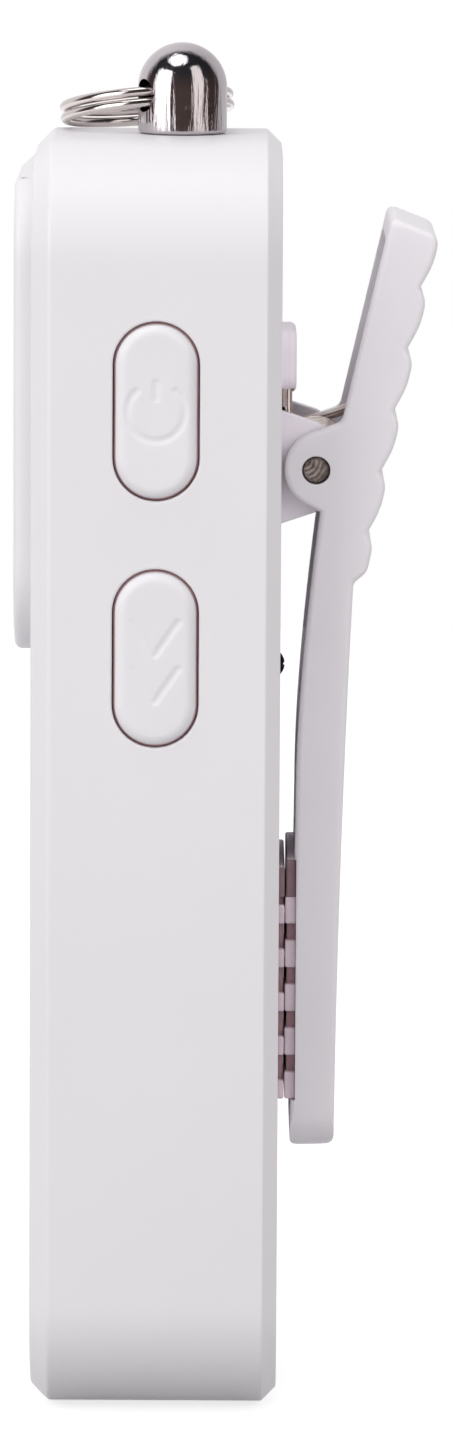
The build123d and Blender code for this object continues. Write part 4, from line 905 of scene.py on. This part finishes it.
def build_pad(name, node, body, tip_side, ridge_half, ridge_drop):
    """A jaw pad from blocks of rubber: its backing, its plain head and its five ridges."""
    low, high = (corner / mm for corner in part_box(node))
    seat_y, tip_y = (low.y, high.y) if tip_side > 0 else (high.y, low.y)
    backing_y = tip_y - tip_side * backing_drop
    blocks = [
        (backing_half, low.z + backing_end, high.z - backing_end, backing_y, backing_rubber_painted_shade),
        (high.x, pad_top - pad_head, high.z, tip_y, head_rubber_painted_shade),
    ]
    for number in range(ridge_count):
        middle = pad_top - ridge_first - number * ridge_pitch - ridge_drop
        ridge_y = tip_y + tip_side * ridge_reach[tip_side]
        blocks.append((high.x, middle - ridge_half, middle + ridge_half, ridge_y, ridge_rubber_painted_light))
    pieces = []
    for half_x, foot_z, head_z, end_y, rubber in blocks:
        bpy.ops.object.select_all(action="DESELECT")
        bpy.ops.mesh.primitive_cube_add(
            size=1, location=(0, (seat_y + end_y) / 2, (foot_z + head_z) / 2),
            scale=(2 * half_x, abs(end_y - seat_y), head_z - foot_z),
        )
        bpy.ops.object.transform_apply(location=True, rotation=True, scale=True)
        bpy.ops.object.mode_set(mode="EDIT")
        bpy.ops.mesh.select_all(action="SELECT")
        bpy.ops.mesh.bevel(offset=ridge_round, segments=3)
        bpy.ops.object.mode_set(mode="OBJECT")
        bpy.context.object.data.materials.append(rubber)
        pieces.append(bpy.context.object)
    # Painted light: the top faces of backing and head take the pale ridge tone, standing in for light where
    # they sit in the gap's shade.
    for piece in pieces[:2]:
        piece.data.materials.append(ridge_rubber_painted_light)
        for face in piece.data.polygons:
            face.material_index = 1 if face.normal.z > 0.9 else 0
    for piece in pieces:
        piece.select_set(True)
    bpy.context.view_layer.objects.active = pieces[0]
    bpy.ops.object.join()
    pieces[0].name = name
    placed(pieces[0], (0, 0, 0))
    bpy.ops.object.shade_smooth_by_angle(angle=radians(40))
    stand_for(pieces[0], node, body)


build_pad("case_pad", "case_jaw_pad", "case", 1, 0.75, 0.35)
build_pad("arm_pad", "arm_jaw_pad", "lever", -1, 1.08, 0.0)


# Screws: blackened cross-head screws in the cover and under the clip. Those on the board have the same
# finish and keep their solids, as all inner pieces do.
screw_steel = surface(
    "screw_steel", tone(60, 58, 60), tone(88, 85, 86), 0.6 * mm, (0.3, 0.45), 0.07 * mm, 0.003 * mm, 1.0
)
for node in ("cover_screws", "clip_screw"):
    screws = softened(node, node.replace("screw", "fastener"), 0.03 * mm, screw_steel, steps=2)
    stand_for(screws, node, "case")


# Inner pieces: the siren, the boards, the cell, the switches and the sockets keep their solids and
# get the finish of what they are made of.
def dress(nodes, material):
    """Gives the material to CAD nodes that are shown as they are."""
    for node in nodes:
        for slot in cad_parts[node].material_slots:
            slot.material = material


brass = surface(
    "siren_brass", tone(196, 164, 96), tone(214, 184, 118), 4 * mm, (0.2, 0.3), 0.2 * mm, 0.002 * mm, 1.0
)
ceramic = surface(
    "siren_ceramic", tone(206, 204, 198), tone(222, 220, 214), 3 * mm, (0.5, 0.6), 0.15 * mm, 0.003 * mm
)
black_plastic = surface(
    "black_plastic", tone(30, 30, 32), tone(42, 42, 44), 5 * mm, (0.45, 0.6), 0.15 * mm, 0.004 * mm
)
board_laminate = surface(
    "board_laminate", tone(18, 74, 44), tone(28, 96, 58), 4 * mm, (0.35, 0.45), 0.4 * mm, 0.002 * mm
)
chip_resin = surface(
    "chip_resin", tone(24, 24, 26), tone(36, 36, 38), 2 * mm, (0.5, 0.6), 0.06 * mm, 0.002 * mm
)
ferrite = surface("ferrite", tone(46, 44, 44), tone(64, 61, 60), 1 * mm, (0.6, 0.75), 0.1 * mm, 0.006 * mm)
copper = surface(
    "copper_wire", tone(178, 96, 52), tone(206, 124, 74), 0.8 * mm, (0.25, 0.35), 0.12 * mm, 0.006 * mm, 1.0
)
gold = surface(
    "contact_gold", tone(206, 172, 98), tone(222, 192, 122), 2 * mm, (0.2, 0.3), 0.1 * mm, 0.001 * mm, 1.0
)
emitter = surface(
    "emitter_resin", tone(226, 204, 96), tone(238, 220, 128), 1 * mm, (0.3, 0.4), 0.1 * mm, 0.002 * mm
)
foil = surface(
    "cell_foil", tone(176, 178, 182), tone(202, 204, 208), 3 * mm, (0.3, 0.45), 0.7 * mm, 0.02 * mm, 1.0
)
foam = surface("foam", tone(52, 52, 56), tone(70, 70, 74), 1 * mm, (0.85, 0.95), 0.25 * mm, 0.08 * mm)
insulation = surface(
    "lead_insulation", tone(140, 30, 30), tone(168, 42, 40), 2 * mm, (0.4, 0.5), 0.2 * mm, 0.004 * mm
)
cloth = surface(
    "grille_cloth", tone(26, 26, 28), tone(40, 40, 44), 1 * mm, (0.8, 0.9), 0.1 * mm, 0.03 * mm
)
port_steel = surface(
    "port_steel", tone(170, 170, 174), tone(190, 190, 194), 2 * mm, (0.25, 0.35), 0.1 * mm, 0.002 * mm, 1.0
)
dress(["siren_plate"], brass)
dress(["siren_ceramic"], ceramic)
dress(
    [
        "siren_holder", "power_switch", "power_switch_stem", "mode_switch", "mode_switch_stem",
        "charge_tongue", "pull_pin_plug", "pin_socket",
    ],
    black_plastic,
)
dress(["light_board", "main_board"], board_laminate)
dress(["control_chip", "board_parts"], chip_resin)
dress(["boost_coil_core"], ferrite)
dress(["boost_coil_winding"], copper)
dress(["siren_contacts", "pin_contacts"], gold)
dress(["light_emitters"], emitter)
dress(["battery_cell"], foil)
dress(["battery_pad"], foam)
dress(["battery_leads", "light_leads"], insulation)
dress(["dust_screen"], cloth)
dress(["charge_socket"], port_steel)
dress(["board_screws"], screw_steel)
